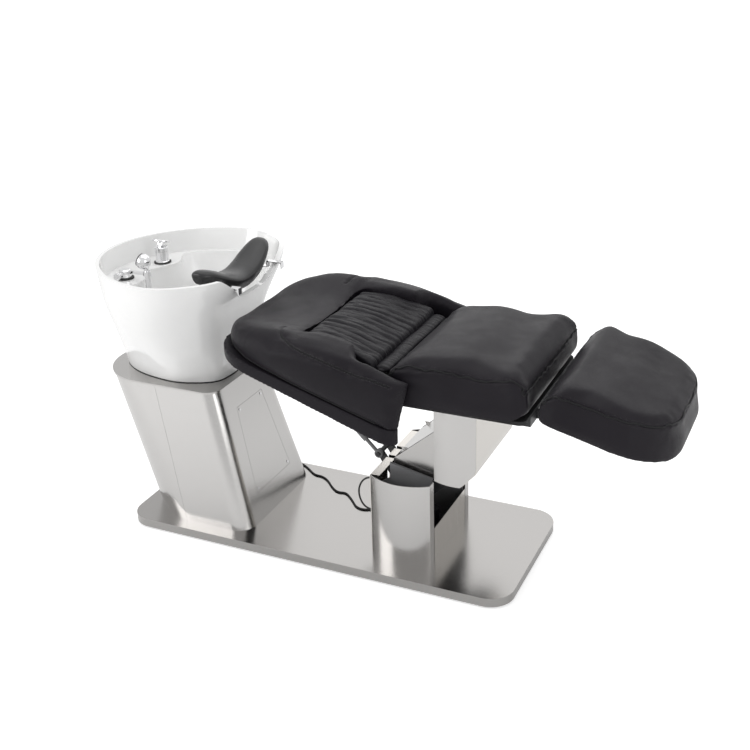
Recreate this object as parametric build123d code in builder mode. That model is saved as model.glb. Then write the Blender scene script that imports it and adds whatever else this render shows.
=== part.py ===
"""A lay-flat hair washing bed: a ceramic basin on a steel column and an upholstered bed on a swing-arm lift.

All sizes are millimetres. X runs along the bed from the basin end to the foot end, Y across it and
Z up. The origin is on the floor, under the middle of the base plate.
"""
from build123d import *
import math
import os

os.makedirs("parts", exist_ok=True)

# Base plate: a folded tray on low feet.
plate_length = 1400
plate_width = 568
plate_height = 30
plate_corner = 80
plate_sheet = 3
foot_gap = 8
foot_radius = 22
foot_inset = 70
foot_stud_radius = 5
frame_tube = 20
frame_tube_wall = 2
frame_margin = 24

# Column under the basin: a D-shaped shell that leans back.
column_height = 474
column_sheet = 3
column_set_in = 5
column_foot_length = 456
column_foot_half = 235
column_foot_corner = 61
column_lean = 160
column_head_length = 495
column_head_half = 180
column_head_corner = 50
seam_gap = 0.6
panel_half_foot = 117
panel_half_head = 82
panel_low = 92
panel_high = 390
panel_gap = 0.8
panel_lap = 12
top_plate_thickness = 6
top_plate_lip = 4

# Ceramic basin.
basin_height = 410
basin_half = 343
basin_length = 584
basin_overhang = 15
basin_wall = 14
basin_foot_length = 430
basin_foot_half = 142
basin_foot_set = 40
deck_drop = 75
bowl_depth = 228
notch_half_top = 200
notch_half_low = 80
notch_depth = 93
drain_radius = 24

# Fittings on the deck.
fitting_spread = 94
mixer_radius = 23
mixer_height = 62
lever_radius = 31
lever_tilt = 20
holder_radius = 21
holder_height = 28
handle_radius = 9
spray_radius = 26

# Lift: a fixed housing, swing arms and a level carriage.
lift_gap = 439
housing_length = 207
housing_half = 173
housing_bulge = 31
housing_height = 287
housing_sheet = 2.5
end_panel_height = 115
arm_pin_radius = 10
link_pin_radius = 8
arm_run = 235
arm_rise = 240
arm_pitch_run = 40
arm_pitch_rise = 60
lift_travel = 37
upper_length = 140
upper_height = 256

# Bed.
seat_length = 452
seat_half = 284
seat_thickness = 127
leg_length = 420
back_half = 345
pad_clear = 0.3
pivot_clear = 0.05
cut_over = 5

# Places worked out from the sizes above.
plate_rear = -plate_length / 2
plate_top = foot_gap + plate_height
column_foot_rear = plate_rear + column_set_in
column_foot_front = column_foot_rear + column_foot_length
column_head_rear = column_foot_rear - column_lean
column_head_front = column_head_rear + column_head_length
column_top = plate_top + column_height
basin_base = column_top + top_plate_thickness
rim_top = basin_base + basin_height
rim_rear = column_head_rear + basin_overhang
rim_front = rim_rear + basin_length
deck_top = rim_top - deck_drop
bowl_floor = rim_top - bowl_depth


def finish(part, name):
    """Names a finished piece and writes it to its own file."""
    part.label = name
    export_step(part, "parts/" + name + ".step")


def d_outline(rear, front, half, corner):
    """A half-round rear, straight sides and a flat front with rounded corners, in the current sketch."""
    with BuildLine() as edge:
        CenterArc((rear + half, 0), half, 90, 90)
        CenterArc((rear + half, 0), half, 180, 90)
        Line((rear + half, -half), (front - corner, -half))
        CenterArc((front - corner, corner - half), corner, 270, 90)
        Line((front, corner - half), (front, half - corner))
        CenterArc((front - corner, half - corner), corner, 0, 90)
        Line((front - corner, half), (rear + half, half))
    make_face(edge.edges())


def column_outline(share, inset):
    """The column's outline at a share of its height, drawn in by an inset."""
    rear = column_foot_rear + (column_head_rear - column_foot_rear) * share + inset
    front = column_foot_front + (column_head_front - column_foot_front) * share - inset
    half = column_foot_half + (column_head_half - column_foot_half) * share - inset
    corner = column_foot_corner + (column_head_corner - column_foot_corner) * share - inset
    d_outline(rear, front, half, corner)


def column_front_at(z):
    """X of the column's leaning front face at a height."""
    return column_foot_front + (column_head_front - column_foot_front) * (z - plate_top) / column_height


def mirrored(points):
    """The points and their mirror images across the middle plane, as one closed row."""
    return points + [(x, -y) for x, y in reversed(points) if y != 0]


# Base plate: a tray of folded sheet, open underneath.
with BuildPart() as base_plate:
    with BuildSketch(Plane.XY.offset(foot_gap)):
        RectangleRounded(plate_length, plate_width, plate_corner)
    extrude(amount=plate_height)
    with BuildSketch(Plane.XY.offset(foot_gap)):
        RectangleRounded(
            plate_length - 2 * plate_sheet, plate_width - 2 * plate_sheet, plate_corner - plate_sheet
        )
    extrude(amount=plate_height - plate_sheet, mode=Mode.SUBTRACT)
finish(base_plate.part, "base_plate")

# Base frame: square tubes under the tray, joined at their ends.
frame_length = plate_length - 2 * (plate_corner + frame_margin)
frame_width = plate_width - 2 * (frame_margin + plate_sheet)
frame_top = plate_top - plate_sheet
frame_bars = 7
with BuildPart() as base_frame:
    with BuildSketch(Plane.XY.offset(frame_top - frame_tube)):
        Rectangle(frame_length, frame_width)
        Rectangle(frame_length - 2 * frame_tube, frame_width - 2 * frame_tube, mode=Mode.SUBTRACT)
        with GridLocations((frame_length - frame_tube) / (frame_bars - 1), 0, frame_bars, 1):
            Rectangle(frame_tube, frame_width)
    extrude(amount=frame_tube)
finish(base_frame.part, "base_frame")

# Levelling feet: a pad and a stud that screws up against the frame.
foot_spread_x = frame_length - frame_tube
foot_spread_y = frame_width - frame_tube
foot_pad = foot_gap - 1.5
with BuildPart() as levelling_feet:
    with BuildSketch(Plane.XY):
        with GridLocations(foot_spread_x, foot_spread_y, 2, 2):
            Circle(foot_radius)
        Circle(foot_radius)
    extrude(amount=foot_pad)
    with BuildSketch(Plane.XY.offset(foot_pad)):
        with GridLocations(foot_spread_x, foot_spread_y, 2, 2):
            Circle(foot_stud_radius)
        Circle(foot_stud_radius)
    extrude(amount=frame_top - frame_tube - foot_pad)
finish(levelling_feet.part, "levelling_feet")

# Cable exits: their places and the grommets' sizes.
cable_radius = 3
grommet_hole = 6
grommet_fit = 0.1
grommet_flange = 9
grommet_lip = 2.5
grommet_depth = 5
column_exit_x = column_foot_rear + 345
cable_exit_z = plate_top + 20
panel_exit = (64, plate_top + 12)
loop_exits = [(-110, plate_top + 242), (-110, plate_top + 118)]

# Column shells: one leaning loft, parted at a leaning seam on its middle.
seam_foot = column_foot_rear + column_foot_length * 0.46
seam_head = column_head_rear + column_head_length * 0.52
seam_lean = math.degrees(math.atan2(seam_foot - seam_head, column_height))
seam_plane = Plane(
    origin=(seam_foot, 0, plate_top),
    x_dir=(0, 1, 0),
    z_dir=(math.cos(math.radians(seam_lean)), 0, math.sin(math.radians(seam_lean))),
)
head_inner = column_head_rear + column_sheet


def column_loft(inset, mode):
    """The leaning body of the column between its foot and its head, drawn in by an inset."""
    with BuildSketch(Plane.XY.offset(plate_top)) as foot_sketch:
        column_outline(0, inset)
    with BuildSketch(Plane.XY.offset(column_top)) as head_sketch:
        column_outline(1, inset)
    loft([foot_sketch.sketch.faces()[0], head_sketch.sketch.faces()[0]], mode=mode)


with BuildPart() as column_rear_shell:
    column_loft(0, Mode.ADD)
    column_loft(column_sheet, Mode.SUBTRACT)
    split(bisect_by=seam_plane.offset(-seam_gap / 2), keep=Keep.BOTTOM)
finish(column_rear_shell.part, "column_rear_shell")

# The front face leans back by the column's lean; its panel plane has X across and Y up the slope.
face_lean = math.atan2(column_foot_front - column_head_front, column_height)
face_normal = (math.cos(face_lean), 0, math.sin(face_lean))
face_plane = Plane(origin=(column_foot_front, 0, plate_top), x_dir=(0, 1, 0), z_dir=face_normal)
panel_foot_up = panel_low / math.cos(face_lean)
panel_head_up = panel_high / math.cos(face_lean)
panel_corner = 8


def panel_outline(grow):
    """The tapering access panel on the front face, grown by a margin."""
    with BuildLine() as edge:
        Polyline(
            (-panel_half_foot - grow, panel_foot_up - grow),
            (panel_half_foot + grow, panel_foot_up - grow),
            (panel_half_head + grow, panel_head_up + grow),
            (-panel_half_head - grow, panel_head_up + grow),
            close=True,
        )
    make_face(edge.edges())


with BuildPart() as column_front_shell:
    column_loft(0, Mode.ADD)
    column_loft(column_sheet, Mode.SUBTRACT)
    split(bisect_by=seam_plane.offset(seam_gap / 2), keep=Keep.TOP)
    with BuildSketch(face_plane):
        panel_outline(panel_gap)
    extrude(amount=-2 * column_sheet, mode=Mode.SUBTRACT)
    with BuildSketch(Plane.XZ.offset(-column_foot_half - cut_over)):
        with Locations((column_exit_x, cable_exit_z)):
            Circle(grommet_hole)
    extrude(amount=6 * cut_over, mode=Mode.SUBTRACT)
finish(column_front_shell.part, "column_front_shell")

# Access panel with a lap flange behind the opening's edge, and its four screws.
screw_radius = 4.5
screw_hole = 2.6
screw_shank = 2.4
screw_head = 2
screw_inset = 12
panel_screws = [
    (-panel_half_foot + screw_inset, panel_foot_up + screw_inset),
    (panel_half_foot - screw_inset, panel_foot_up + screw_inset),
    (panel_half_head - screw_inset, panel_head_up - screw_inset),
    (-panel_half_head + screw_inset, panel_head_up - screw_inset),
]
with BuildPart() as access_panel:
    with BuildSketch(face_plane):
        panel_outline(0)
    extrude(amount=-column_sheet)
    with BuildSketch(face_plane.offset(-column_sheet - pad_clear)):
        panel_outline(panel_lap)
    extrude(amount=-column_sheet)
    with BuildSketch(face_plane.offset(-column_sheet / 2)):
        panel_outline(-panel_lap)
    extrude(amount=-column_sheet)
    with BuildSketch(face_plane):
        with Locations(panel_screws):
            Circle(screw_hole)
    extrude(amount=-3 * column_sheet, mode=Mode.SUBTRACT)
finish(access_panel.part, "access_panel")

with BuildPart() as panel_screw_set:
    with BuildSketch(face_plane):
        with Locations(panel_screws):
            Circle(screw_radius)
    extrude(amount=screw_head)
    with BuildSketch(face_plane):
        with Locations(panel_screws):
            Circle(screw_shank)
    extrude(amount=-2.5 * column_sheet)
finish(panel_screw_set.part, "panel_screws")

# Top plate: closes the column and carries the basin; the drain and the hoses pass its middle.
pipe_hole_length = 300
pipe_hole_width = 190
pipe_hole_corner = 60
pipe_hole_x = rim_rear + basin_length * 0.44
with BuildPart() as column_top_plate:
    with BuildSketch(Plane.XY.offset(column_top)):
        column_outline(1, -top_plate_lip)
        with Locations((pipe_hole_x, 0)):
            RectangleRounded(pipe_hole_length, pipe_hole_width, pipe_hole_corner, mode=Mode.SUBTRACT)
    extrude(amount=top_plate_thickness)
finish(column_top_plate.part, "column_top_plate")

# Column frame: four leaning posts between a foot flange and a head flange.
post_size = 30
flange_thickness = 8
flange_band = 44
post_inset = 46
post_foot_x = [column_foot_rear + 90, column_foot_front - post_inset]
post_head_x = [column_head_rear + 90, column_head_front - post_inset]
post_foot_y = 128
post_head_y = 112
with BuildPart() as column_frame:
    with BuildSketch(Plane.XY.offset(plate_top)):
        with Locations((sum(post_foot_x) / 2, 0)):
            Rectangle(post_foot_x[1] - post_foot_x[0] + flange_band, 2 * post_foot_y + flange_band)
            Rectangle(
                post_foot_x[1] - post_foot_x[0] - flange_band,
                2 * post_foot_y - flange_band,
                mode=Mode.SUBTRACT,
            )
    extrude(amount=flange_thickness)
    with BuildSketch(Plane.XY.offset(column_top - flange_thickness)):
        with Locations((sum(post_head_x) / 2, 0)):
            Rectangle(post_head_x[1] - post_head_x[0] + flange_band, 2 * post_head_y + flange_band)
            Rectangle(
                post_head_x[1] - post_head_x[0] - flange_band,
                2 * post_head_y - flange_band,
                mode=Mode.SUBTRACT,
            )
    extrude(amount=flange_thickness)
    for foot_x, head_x in zip(post_foot_x, post_head_x):
        for side in (-1, 1):
            with BuildSketch(Plane.XY.offset(plate_top)) as post_foot:
                with Locations((foot_x, side * post_foot_y)):
                    Rectangle(post_size, post_size)
            with BuildSketch(Plane.XY.offset(column_top)) as post_head:
                with Locations((head_x, side * post_head_y)):
                    Rectangle(post_size, post_size)
            loft([post_foot.sketch.faces()[0], post_head.sketch.faces()[0]])
finish(column_frame.part, "column_frame")


def ring_face(z, rear, front, half, shares):
    """A level face inside a smooth closed ring through a table of length and half-width shares."""
    points = mirrored([(rear + (front - rear) * u, half * v) for u, v in shares])
    with BuildSketch(Plane.XY.offset(z)) as level:
        with BuildLine() as edge:
            Spline(*points, periodic=True)
        make_face(edge.edges())
    return level.sketch.faces()[0]


# Basin: rings of rear, front and half-width shares at shares of its height, lofted smooth.
rim_outline_shares = [
    (0, 0), (0.03, 0.295), (0.119, 0.56), (0.336, 0.87), (0.5, 0.972), (0.62, 1), (0.74, 0.95),
    (0.84, 0.84), (0.925, 0.70), (0.975, 0.52), (0.993, 0.27), (1, 0),
]
deck_outline_shares = [
    (0.03, 0), (0.10, 0.17), (0.155, 0.34), (0.12, 0.52), (0.07, 0.64), (0.09, 0.76), (0.2, 0.86),
    (0.42, 0.96), (0.6, 1), (0.76, 0.94), (0.88, 0.78), (0.96, 0.55), (0.992, 0.28), (1, 0),
]
floor_outline_shares = [
    (0, 0), (0.02, 0.2), (0.055, 0.36), (0.11, 0.52), (0.17, 0.64), (0.25, 0.76), (0.35, 0.86),
    (0.48, 0.96), (0.6, 1), (0.74, 0.94), (0.86, 0.78), (0.945, 0.55), (0.987, 0.28), (1, 0),
]
# Height share, then rear and front set-in as shares of the length, then half-width share.
basin_ring_shares = [
    (0, 0.043, 0.226, 0.414), (0.2, 0.031, 0.1815, 0.554), (0.444, 0.019, 0.130, 0.729),
    (0.688, 0.0086, 0.0753, 0.889), (0.834, 0.0034, 0.0274, 0.953), (1, 0, 0, 1),
]
basin_gasket = 3
basin_foot = basin_base + basin_gasket
basin_rise = rim_top - basin_foot
rim_over = 6
bowl_rear = rim_rear + basin_length * 0.205
bowl_front = rim_front - basin_length * 0.074
bowl_half = basin_half * 0.872
bowl_floor_rear = rim_rear + basin_length * 0.295
bowl_floor_front = rim_front - basin_length * 0.19
bowl_floor_half = basin_half * 0.61
bowl_under = 12
drain_x = rim_rear + basin_length * 0.48


def basin_ring_at(share, inset):
    """Rear, front and half width of the basin at a share of its height, drawn in by an inset."""
    for low, high in zip(basin_ring_shares, basin_ring_shares[1:]):
        if share <= high[0] or high is basin_ring_shares[-1]:
            part_way = (share - low[0]) / (high[0] - low[0])
            rear, front, half = [a + (b - a) * part_way for a, b in zip(low[1:], high[1:])]
            break
    return (
        rim_rear + basin_length * rear + inset,
        rim_front - basin_length * front - inset,
        basin_half * half - inset,
    )


def basin_level(z, inset):
    """A level face of the basin's body at a height, drawn in by an inset."""
    return ring_face(z, *basin_ring_at((z - basin_foot) / basin_rise, inset), rim_outline_shares)


def bowl_level(share, z, shares):
    """A level face of the bowl, where a share of 0 is its mouth and 1 its floor."""
    rear = bowl_rear + (bowl_floor_rear - bowl_rear) * share
    front = bowl_front + (bowl_floor_front - bowl_front) * share
    half = bowl_half + (bowl_floor_half - bowl_half) * share
    return ring_face(z, rear, front, half, shares)


def eased(share):
    """The deck outline's table blended into the floor's."""
    return [
        (a + (c - a) * share, b + (d - b) * share)
        for (a, b), (c, d) in zip(deck_outline_shares, floor_outline_shares)
    ]


# Bowl levels: inward share, depth share and share of the floor's outline.
bowl_level_shares = [(0, -0.03, 0), (0.12, 0.2, 0.3), (0.4, 0.5, 0.7), (0.64, 0.8, 1), (0.84, 0.95, 1), (1, 1, 1)]
bowl_drop = deck_top - bowl_floor
mixer_x = rim_rear + basin_length * 0.226
mixer_y = fitting_spread
holder_x = rim_rear + basin_length * 0.19
holder_y = -fitting_spread
handle_x = rim_rear + basin_length * 0.346
handle_y = -fitting_spread
pocket_radius = 24
pocket_top = deck_top - bowl_under
cavity_top = bowl_floor - bowl_under
rear_pocket_front = rim_rear + basin_length * 0.17
rear_pocket_rear = rim_rear + basin_length * 0.068
rear_pocket_half = basin_half * 0.42
rear_pocket_half_rear = basin_half * 0.16
hose_radius = 6
hose_bore_clear = 1
guide_tube_wall = 2.5
hose_boss_radius = 21
hose_boss_top = bowl_floor + 14
guide_hole_radius = hose_radius + hose_bore_clear + guide_tube_wall + 0.3
shank_hole_radius = 15
holder_hole_radius = 11
notch_lip_radius = 45

with BuildPart() as basin:
    loft([basin_level(basin_foot + basin_rise * share[0], 0) for share in basin_ring_shares])
    recess_shares = [0, 0.5, 1]
    recess_rise = rim_top + rim_over - deck_top
    loft(
        [basin_level(deck_top + recess_rise * share, basin_wall) for share in recess_shares],
        mode=Mode.SUBTRACT,
    )
    loft(
        [
            bowl_level(inward, deck_top - bowl_drop * depth, eased(blend))
            for inward, depth, blend in bowl_level_shares
        ],
        mode=Mode.SUBTRACT,
    )
    # The hollow foot and the pockets under the rear ledge.
    hollow_rise = cavity_top - basin_foot
    loft(
        [basin_level(basin_foot + hollow_rise * share, basin_wall) for share in (0, 0.5, 1)],
        mode=Mode.SUBTRACT,
    )
    with BuildSketch(Plane.XY.offset(cavity_top - bowl_under)):
        with BuildLine():
            Polyline(
                (rear_pocket_rear, -rear_pocket_half_rear),
                (rear_pocket_front, -rear_pocket_half),
                (rear_pocket_front, rear_pocket_half),
                (rear_pocket_rear, rear_pocket_half_rear),
                close=True,
            )
        make_face()
        with Locations((mixer_x, mixer_y), (holder_x, holder_y)):
            Circle(pocket_radius)
    extrude(amount=pocket_top - cavity_top + bowl_under, mode=Mode.SUBTRACT)
    # The boss that the hose guide stands on, and the holes.
    with BuildSketch(Plane.XY.offset(cavity_top)):
        with Locations((handle_x, handle_y)):
            Circle(hose_boss_radius)
    extrude(amount=hose_boss_top - cavity_top)
    with BuildSketch(Plane.XY.offset(cavity_top - bowl_under)):
        with Locations((handle_x, handle_y)):
            Circle(guide_hole_radius)
        with Locations((drain_x, 0)):
            Circle(drain_radius)
    extrude(amount=2 * bowl_under + hose_boss_top - bowl_floor + bowl_under, mode=Mode.SUBTRACT)
    with BuildSketch(Plane.XY.offset(pocket_top - cut_over)):
        with Locations((mixer_x, mixer_y)):
            Circle(shank_hole_radius)
        with Locations((holder_x, holder_y)):
            Circle(holder_hole_radius)
    extrude(amount=bowl_under + 2 * cut_over, mode=Mode.SUBTRACT)
    # The neck notch through the front wall.
    notch_slope = (notch_half_top - notch_half_low) / notch_depth
    notch_head = rim_over + cut_over
    notch_half_head = notch_half_top + notch_slope * notch_head
    with BuildSketch(Plane.YZ.offset(bowl_front - pocket_radius)) as notch:
        with BuildLine():
            Polyline(
                (-notch_half_head, rim_top + notch_head),
                (-notch_half_low, rim_top - notch_depth),
                (notch_half_low, rim_top - notch_depth),
                (notch_half_head, rim_top + notch_head),
                close=True,
            )
        make_face()
        fillet(notch.vertices().group_by(Axis.Y)[0], radius=notch_lip_radius)
    extrude(amount=rim_front - bowl_front + 2 * pocket_radius, mode=Mode.SUBTRACT)
finish(basin.part, "basin")
print("basin solids", len(basin.solids()), "volume", round(basin.part.volume))

def turned(profile, x, y, mode=Mode.ADD):
    """A body of revolution about an upright axis at (x, y), from (radius, height) points."""
    with BuildSketch(Plane.XZ.offset(-y)) as side:
        with BuildLine() as edge:
            Polyline(*[(x + r, z) for r, z in profile], close=True)
        make_face(edge.edges())
    revolve(side.sketch, axis=Axis((x, y, 0), (0, 0, 1)), mode=mode)


def hose_run(points, radii, radius, bore=0):
    """A round hose swept along straight runs joined by tangent arcs."""
    with BuildLine() as path:
        if radii:
            FilletPolyline(*points, radius=radii)
        else:
            Line(*points)
    start = path.line @ 0
    heading = path.line % 0
    with BuildSketch(Plane(origin=start, z_dir=heading)) as end_face:
        Circle(radius)
        if bore:
            Circle(bore, mode=Mode.SUBTRACT)
    sweep(end_face.sketch, path=path.line)


# Waste: a flanged outlet in the bowl's floor, a lift-out strainer, a trap and a straight hose.
flange_radius = 36
flange_lip = 2.5
waste_bore = 20
waste_outer = drain_radius - 0.4
waste_low = bowl_floor - 48
trap_radius = 33
trap_top = waste_low + 22
trap_bottle_top = waste_low - 6
trap_low = basin_base + 26
drain_hose_radius = 16
drain_hose_bore = 13
strainer_radius = waste_bore - 1
strainer_sheet = 2
strainer_stem = 3
strainer_knob = 7
strainer_holes = 8
strainer_hole_radius = 3
with BuildPart() as drain_flange:
    turned(
        [
            (waste_bore, waste_low), (waste_outer, waste_low), (waste_outer, bowl_floor),
            (flange_radius, bowl_floor), (flange_radius, bowl_floor + flange_lip / 2),
            (flange_radius - flange_lip, bowl_floor + flange_lip), (waste_bore, bowl_floor + flange_lip),
        ],
        drain_x,
        0,
    )
finish(drain_flange.part, "drain_flange")

strainer_low = bowl_floor + flange_lip
with BuildPart() as hair_strainer:
    with BuildSketch(Plane.XY.offset(strainer_low)):
        with Locations((drain_x, 0)):
            Circle(waste_bore + 2 * flange_lip)
            with PolarLocations((waste_bore + strainer_stem) / 2, strainer_holes):
                Circle(strainer_hole_radius, mode=Mode.SUBTRACT)
    extrude(amount=strainer_sheet)
    with BuildSketch(Plane.XY.offset(strainer_low)):
        with Locations((drain_x, 0)):
            Circle(strainer_radius)
            Circle(strainer_radius - strainer_sheet, mode=Mode.SUBTRACT)
    extrude(amount=-4 * strainer_sheet)
    turned(
        [
            (0, strainer_low + strainer_sheet), (strainer_stem, strainer_low + strainer_sheet),
            (strainer_stem, strainer_low + 3 * strainer_sheet),
            (strainer_knob, strainer_low + 4 * strainer_sheet),
            (strainer_knob, strainer_low + 5 * strainer_sheet), (0, strainer_low + 6 * strainer_sheet),
        ],
        drain_x,
        0,
    )
finish(hair_strainer.part, "hair_strainer")

trap_wall = 3
with BuildPart() as drain_trap:
    turned(
        [
            (waste_outer + pad_clear, trap_top), (waste_outer + pad_clear, trap_bottle_top),
            (trap_radius - trap_wall, trap_bottle_top), (trap_radius - trap_wall, trap_low + trap_wall),
            (drain_hose_bore, trap_low + trap_wall), (drain_hose_bore, trap_low),
            (trap_radius, trap_low), (trap_radius, trap_top),
        ],
        drain_x,
        0,
    )
finish(drain_trap.part, "drain_trap")

with BuildPart() as drain_hose:
    with BuildSketch(Plane.XY.offset(plate_top)):
        with Locations((drain_x, 0)):
            Circle(drain_hose_radius)
            Circle(drain_hose_bore, mode=Mode.SUBTRACT)
    extrude(amount=trap_low - plate_top)
finish(drain_hose.part, "drain_hose")

# Control box standing on the base plate inside the column.
box_length = 135
box_width = 150
box_height = 180
box_corner = 8
box_x = drain_x + drain_hose_radius + 12 + box_length / 2
with BuildPart() as control_box:
    with BuildSketch(Plane.XY.offset(plate_top)):
        with Locations((box_x, 0)):
            RectangleRounded(box_length, box_width, box_corner)
    extrude(amount=box_height)
finish(control_box.part, "control_box")

# Gaskets under the mixer and the holder, and under the basin's foot.
deck_gasket_radius = mixer_radius + 7
holder_gasket_radius = holder_radius + 8
deck_gasket = 4
fitting_base = deck_top + deck_gasket
shank_radius = shank_hole_radius - 1
holder_shank = holder_hole_radius - 1
with BuildPart() as basin_gaskets:
    with BuildSketch(Plane.XY.offset(deck_top)):
        with Locations((mixer_x, mixer_y)):
            Circle(deck_gasket_radius)
            Circle(shank_hole_radius, mode=Mode.SUBTRACT)
        with Locations((holder_x, holder_y)):
            Circle(holder_gasket_radius)
            Circle(holder_hole_radius, mode=Mode.SUBTRACT)
    extrude(amount=deck_gasket)
    with BuildSketch(Plane.XY.offset(basin_base)):
        with BuildLine():
            Spline(
                *mirrored([
                    (rim_rear + basin_length * (0.043 + 0.731 * u), basin_half * 0.414 * v)
                    for u, v in rim_outline_shares
                ]),
                periodic=True,
            )
        make_face()
        with BuildLine():
            Spline(
                *mirrored([
                    (
                        rim_rear + basin_length * (0.043 + 0.731 * u) + basin_wall * (1 - 2 * u),
                        (basin_half * 0.414 - basin_wall) * v,
                    )
                    for u, v in rim_outline_shares
                ]),
                periodic=True,
            )
        make_face(mode=Mode.SUBTRACT)
    extrude(amount=basin_gasket)
finish(basin_gaskets.part, "basin_gaskets")

# Mixer: a fixed body, a cap that turns on it and a disc lever that tilts on the cap.
mixer_split = fitting_base + mixer_height * 0.62
shank_low = pocket_top - 34
turn_gap = 0.3
cap_pivot_radius = 9
cap_pivot_depth = 8
with BuildPart() as mixer_body:
    turned(
        [
            (0, shank_low), (shank_radius, shank_low), (shank_radius, fitting_base),
            (mixer_radius + 2, fitting_base), (mixer_radius + 2, fitting_base + 3),
            (mixer_radius, fitting_base + 5), (mixer_radius, mixer_split),
            (cap_pivot_radius + pivot_clear, mixer_split),
            (cap_pivot_radius + pivot_clear, mixer_split - cap_pivot_depth - pad_clear),
            (0, mixer_split - cap_pivot_depth - pad_clear),
        ],
        mixer_x,
        mixer_y,
    )
finish(mixer_body.part, "mixer_body")

tongue_half = 4
tongue_radius = 7
lever_pin = 2
lever_thick = 8
ear_gap = 0.3
ear_thick = 4
cap_top = mixer_split + turn_gap + 15
pin_z = cap_top + tongue_radius
lever_plane = Plane(
    origin=(mixer_x, mixer_y, pin_z),
    x_dir=(1, 0, 0),
    z_dir=(0, math.sin(math.radians(lever_tilt)), math.cos(math.radians(lever_tilt))),
)
with BuildPart() as mixer_cap:
    turned(
        [
            (0, mixer_split - cap_pivot_depth), (cap_pivot_radius, mixer_split - cap_pivot_depth),
            (cap_pivot_radius, mixer_split + turn_gap), (mixer_radius, mixer_split + turn_gap),
            (mixer_radius, cap_top - 2), (mixer_radius - 2, cap_top), (0, cap_top),
        ],
        mixer_x,
        mixer_y,
    )
    with BuildSketch(Plane.YZ.offset(mixer_x - tongue_half)):
        with Locations((mixer_y, pin_z)):
            Circle(tongue_radius)
        with Locations((mixer_y, pin_z - tongue_radius / 2)):
            Rectangle(2 * tongue_radius, tongue_radius)
    extrude(amount=2 * tongue_half)
    with BuildSketch(Plane.YZ.offset(mixer_x - tongue_half - ear_gap - ear_thick)):
        with Locations((mixer_y, pin_z)):
            Circle(lever_pin)
    extrude(amount=2 * (tongue_half + ear_gap + ear_thick))
finish(mixer_cap.part, "mixer_cap")

lever_lift = tongue_radius + 1
with BuildPart() as mixer_lever:
    with BuildSketch(lever_plane.offset(lever_lift)):
        Circle(lever_radius)
    extrude(amount=lever_thick)
    fillet(mixer_lever.edges().filter_by(GeomType.CIRCLE), radius=lever_thick / 3)
    for side in (-1, 1):
        ear_start = side * (tongue_half + ear_gap) + (0 if side > 0 else -ear_thick)
        with BuildSketch(Plane.YZ.offset(mixer_x + ear_start)) as ear:
            with Locations(
                Location((mixer_y, pin_z, 0), (0, 0, -lever_tilt))
            ):
                with Locations((0, (lever_lift + flange_lip) / 2)):
                    Rectangle(2 * tongue_radius - 2, lever_lift + flange_lip)
                Circle(tongue_radius - 1)
                Circle(lever_pin + pivot_clear, mode=Mode.SUBTRACT)
        extrude(amount=ear_thick)
finish(mixer_lever.part, "mixer_lever")
print("lever solids", len(mixer_lever.solids()))

# Shower holder: a body on the ledge, a stub knob and an arm that ends in a ring round the handle.
ring_clear = 0.6
ring_wall = 4
ring_height = 15
ring_low = fitting_base + holder_height * 0.6
arm_height = 9
arm_half = 6
stub_radius = 8
stub_reach = 18
knob_radius = 12
knob_length = 9
with BuildPart() as shower_holder:
    turned(
        [
            (0, pocket_top - 20), (holder_shank, pocket_top - 20), (holder_shank, fitting_base),
            (holder_radius, fitting_base), (holder_radius, fitting_base + holder_height - 4),
            (holder_radius - 5, fitting_base + holder_height), (0, fitting_base + holder_height),
        ],
        holder_x,
        holder_y,
    )
    with BuildSketch(Plane.XY.offset(ring_low)):
        with Locations(((holder_x + handle_x) / 2, holder_y)):
            Rectangle(handle_x - holder_x, 2 * arm_half)
    extrude(amount=arm_height)
    with BuildSketch(Plane.XY.offset(ring_low)):
        with Locations((handle_x, handle_y)):
            Circle(handle_radius + ring_clear + ring_wall)
    extrude(amount=ring_height)
    with BuildSketch(Plane.XY.offset(ring_low - cut_over)):
        with Locations((handle_x, handle_y)):
            Circle(handle_radius + ring_clear)
    extrude(amount=ring_height + 2 * cut_over, mode=Mode.SUBTRACT)
    with BuildSketch(Plane.XZ.offset(-holder_y)):
        with Locations((holder_x, fitting_base + holder_height / 2)):
            Circle(stub_radius)
    extrude(amount=holder_radius + stub_reach)
    with BuildSketch(Plane.XZ.offset(-holder_y + holder_radius + stub_reach)):
        with Locations((holder_x, fitting_base + holder_height / 2)):
            Circle(knob_radius)
    extrude(amount=knob_length)
finish(shower_holder.part, "shower_holder")

# Hand shower: an upright handle that stands in the ring, and a round head with its own face.
handle_low = bowl_floor + 96
handle_top = ring_low + ring_height + 6
head_z = handle_top + 26
head_x = handle_x - 10
head_plane = Plane(
    origin=(head_x, handle_y, head_z),
    x_dir=(0, 1, 0),
    z_dir=(-math.cos(math.radians(lever_tilt)), 0, math.sin(math.radians(lever_tilt))),
)
face_thick = 4
with BuildPart() as hand_shower:
    with BuildSketch(Plane.XY.offset(handle_low)):
        with Locations((handle_x, handle_y)):
            Circle(handle_radius)
    extrude(amount=handle_top - handle_low)
    with BuildSketch(Plane.XY.offset(handle_top)) as neck_low:
        with Locations((handle_x, handle_y)):
            Circle(handle_radius)
    with BuildSketch(Plane.XY.offset(head_z - handle_radius)) as neck_high:
        with Locations((head_x + 4, handle_y)):
            Ellipse(handle_radius, handle_radius * 1.6)
    loft([neck_low.sketch.faces()[0], neck_high.sketch.faces()[0]])
    with Locations(head_plane.location):
        Sphere(spray_radius)
    split(bisect_by=head_plane.offset(spray_radius * 0.42), keep=Keep.BOTTOM)
finish(hand_shower.part, "hand_shower")
print("hand shower solids", len(hand_shower.solids()))

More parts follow.
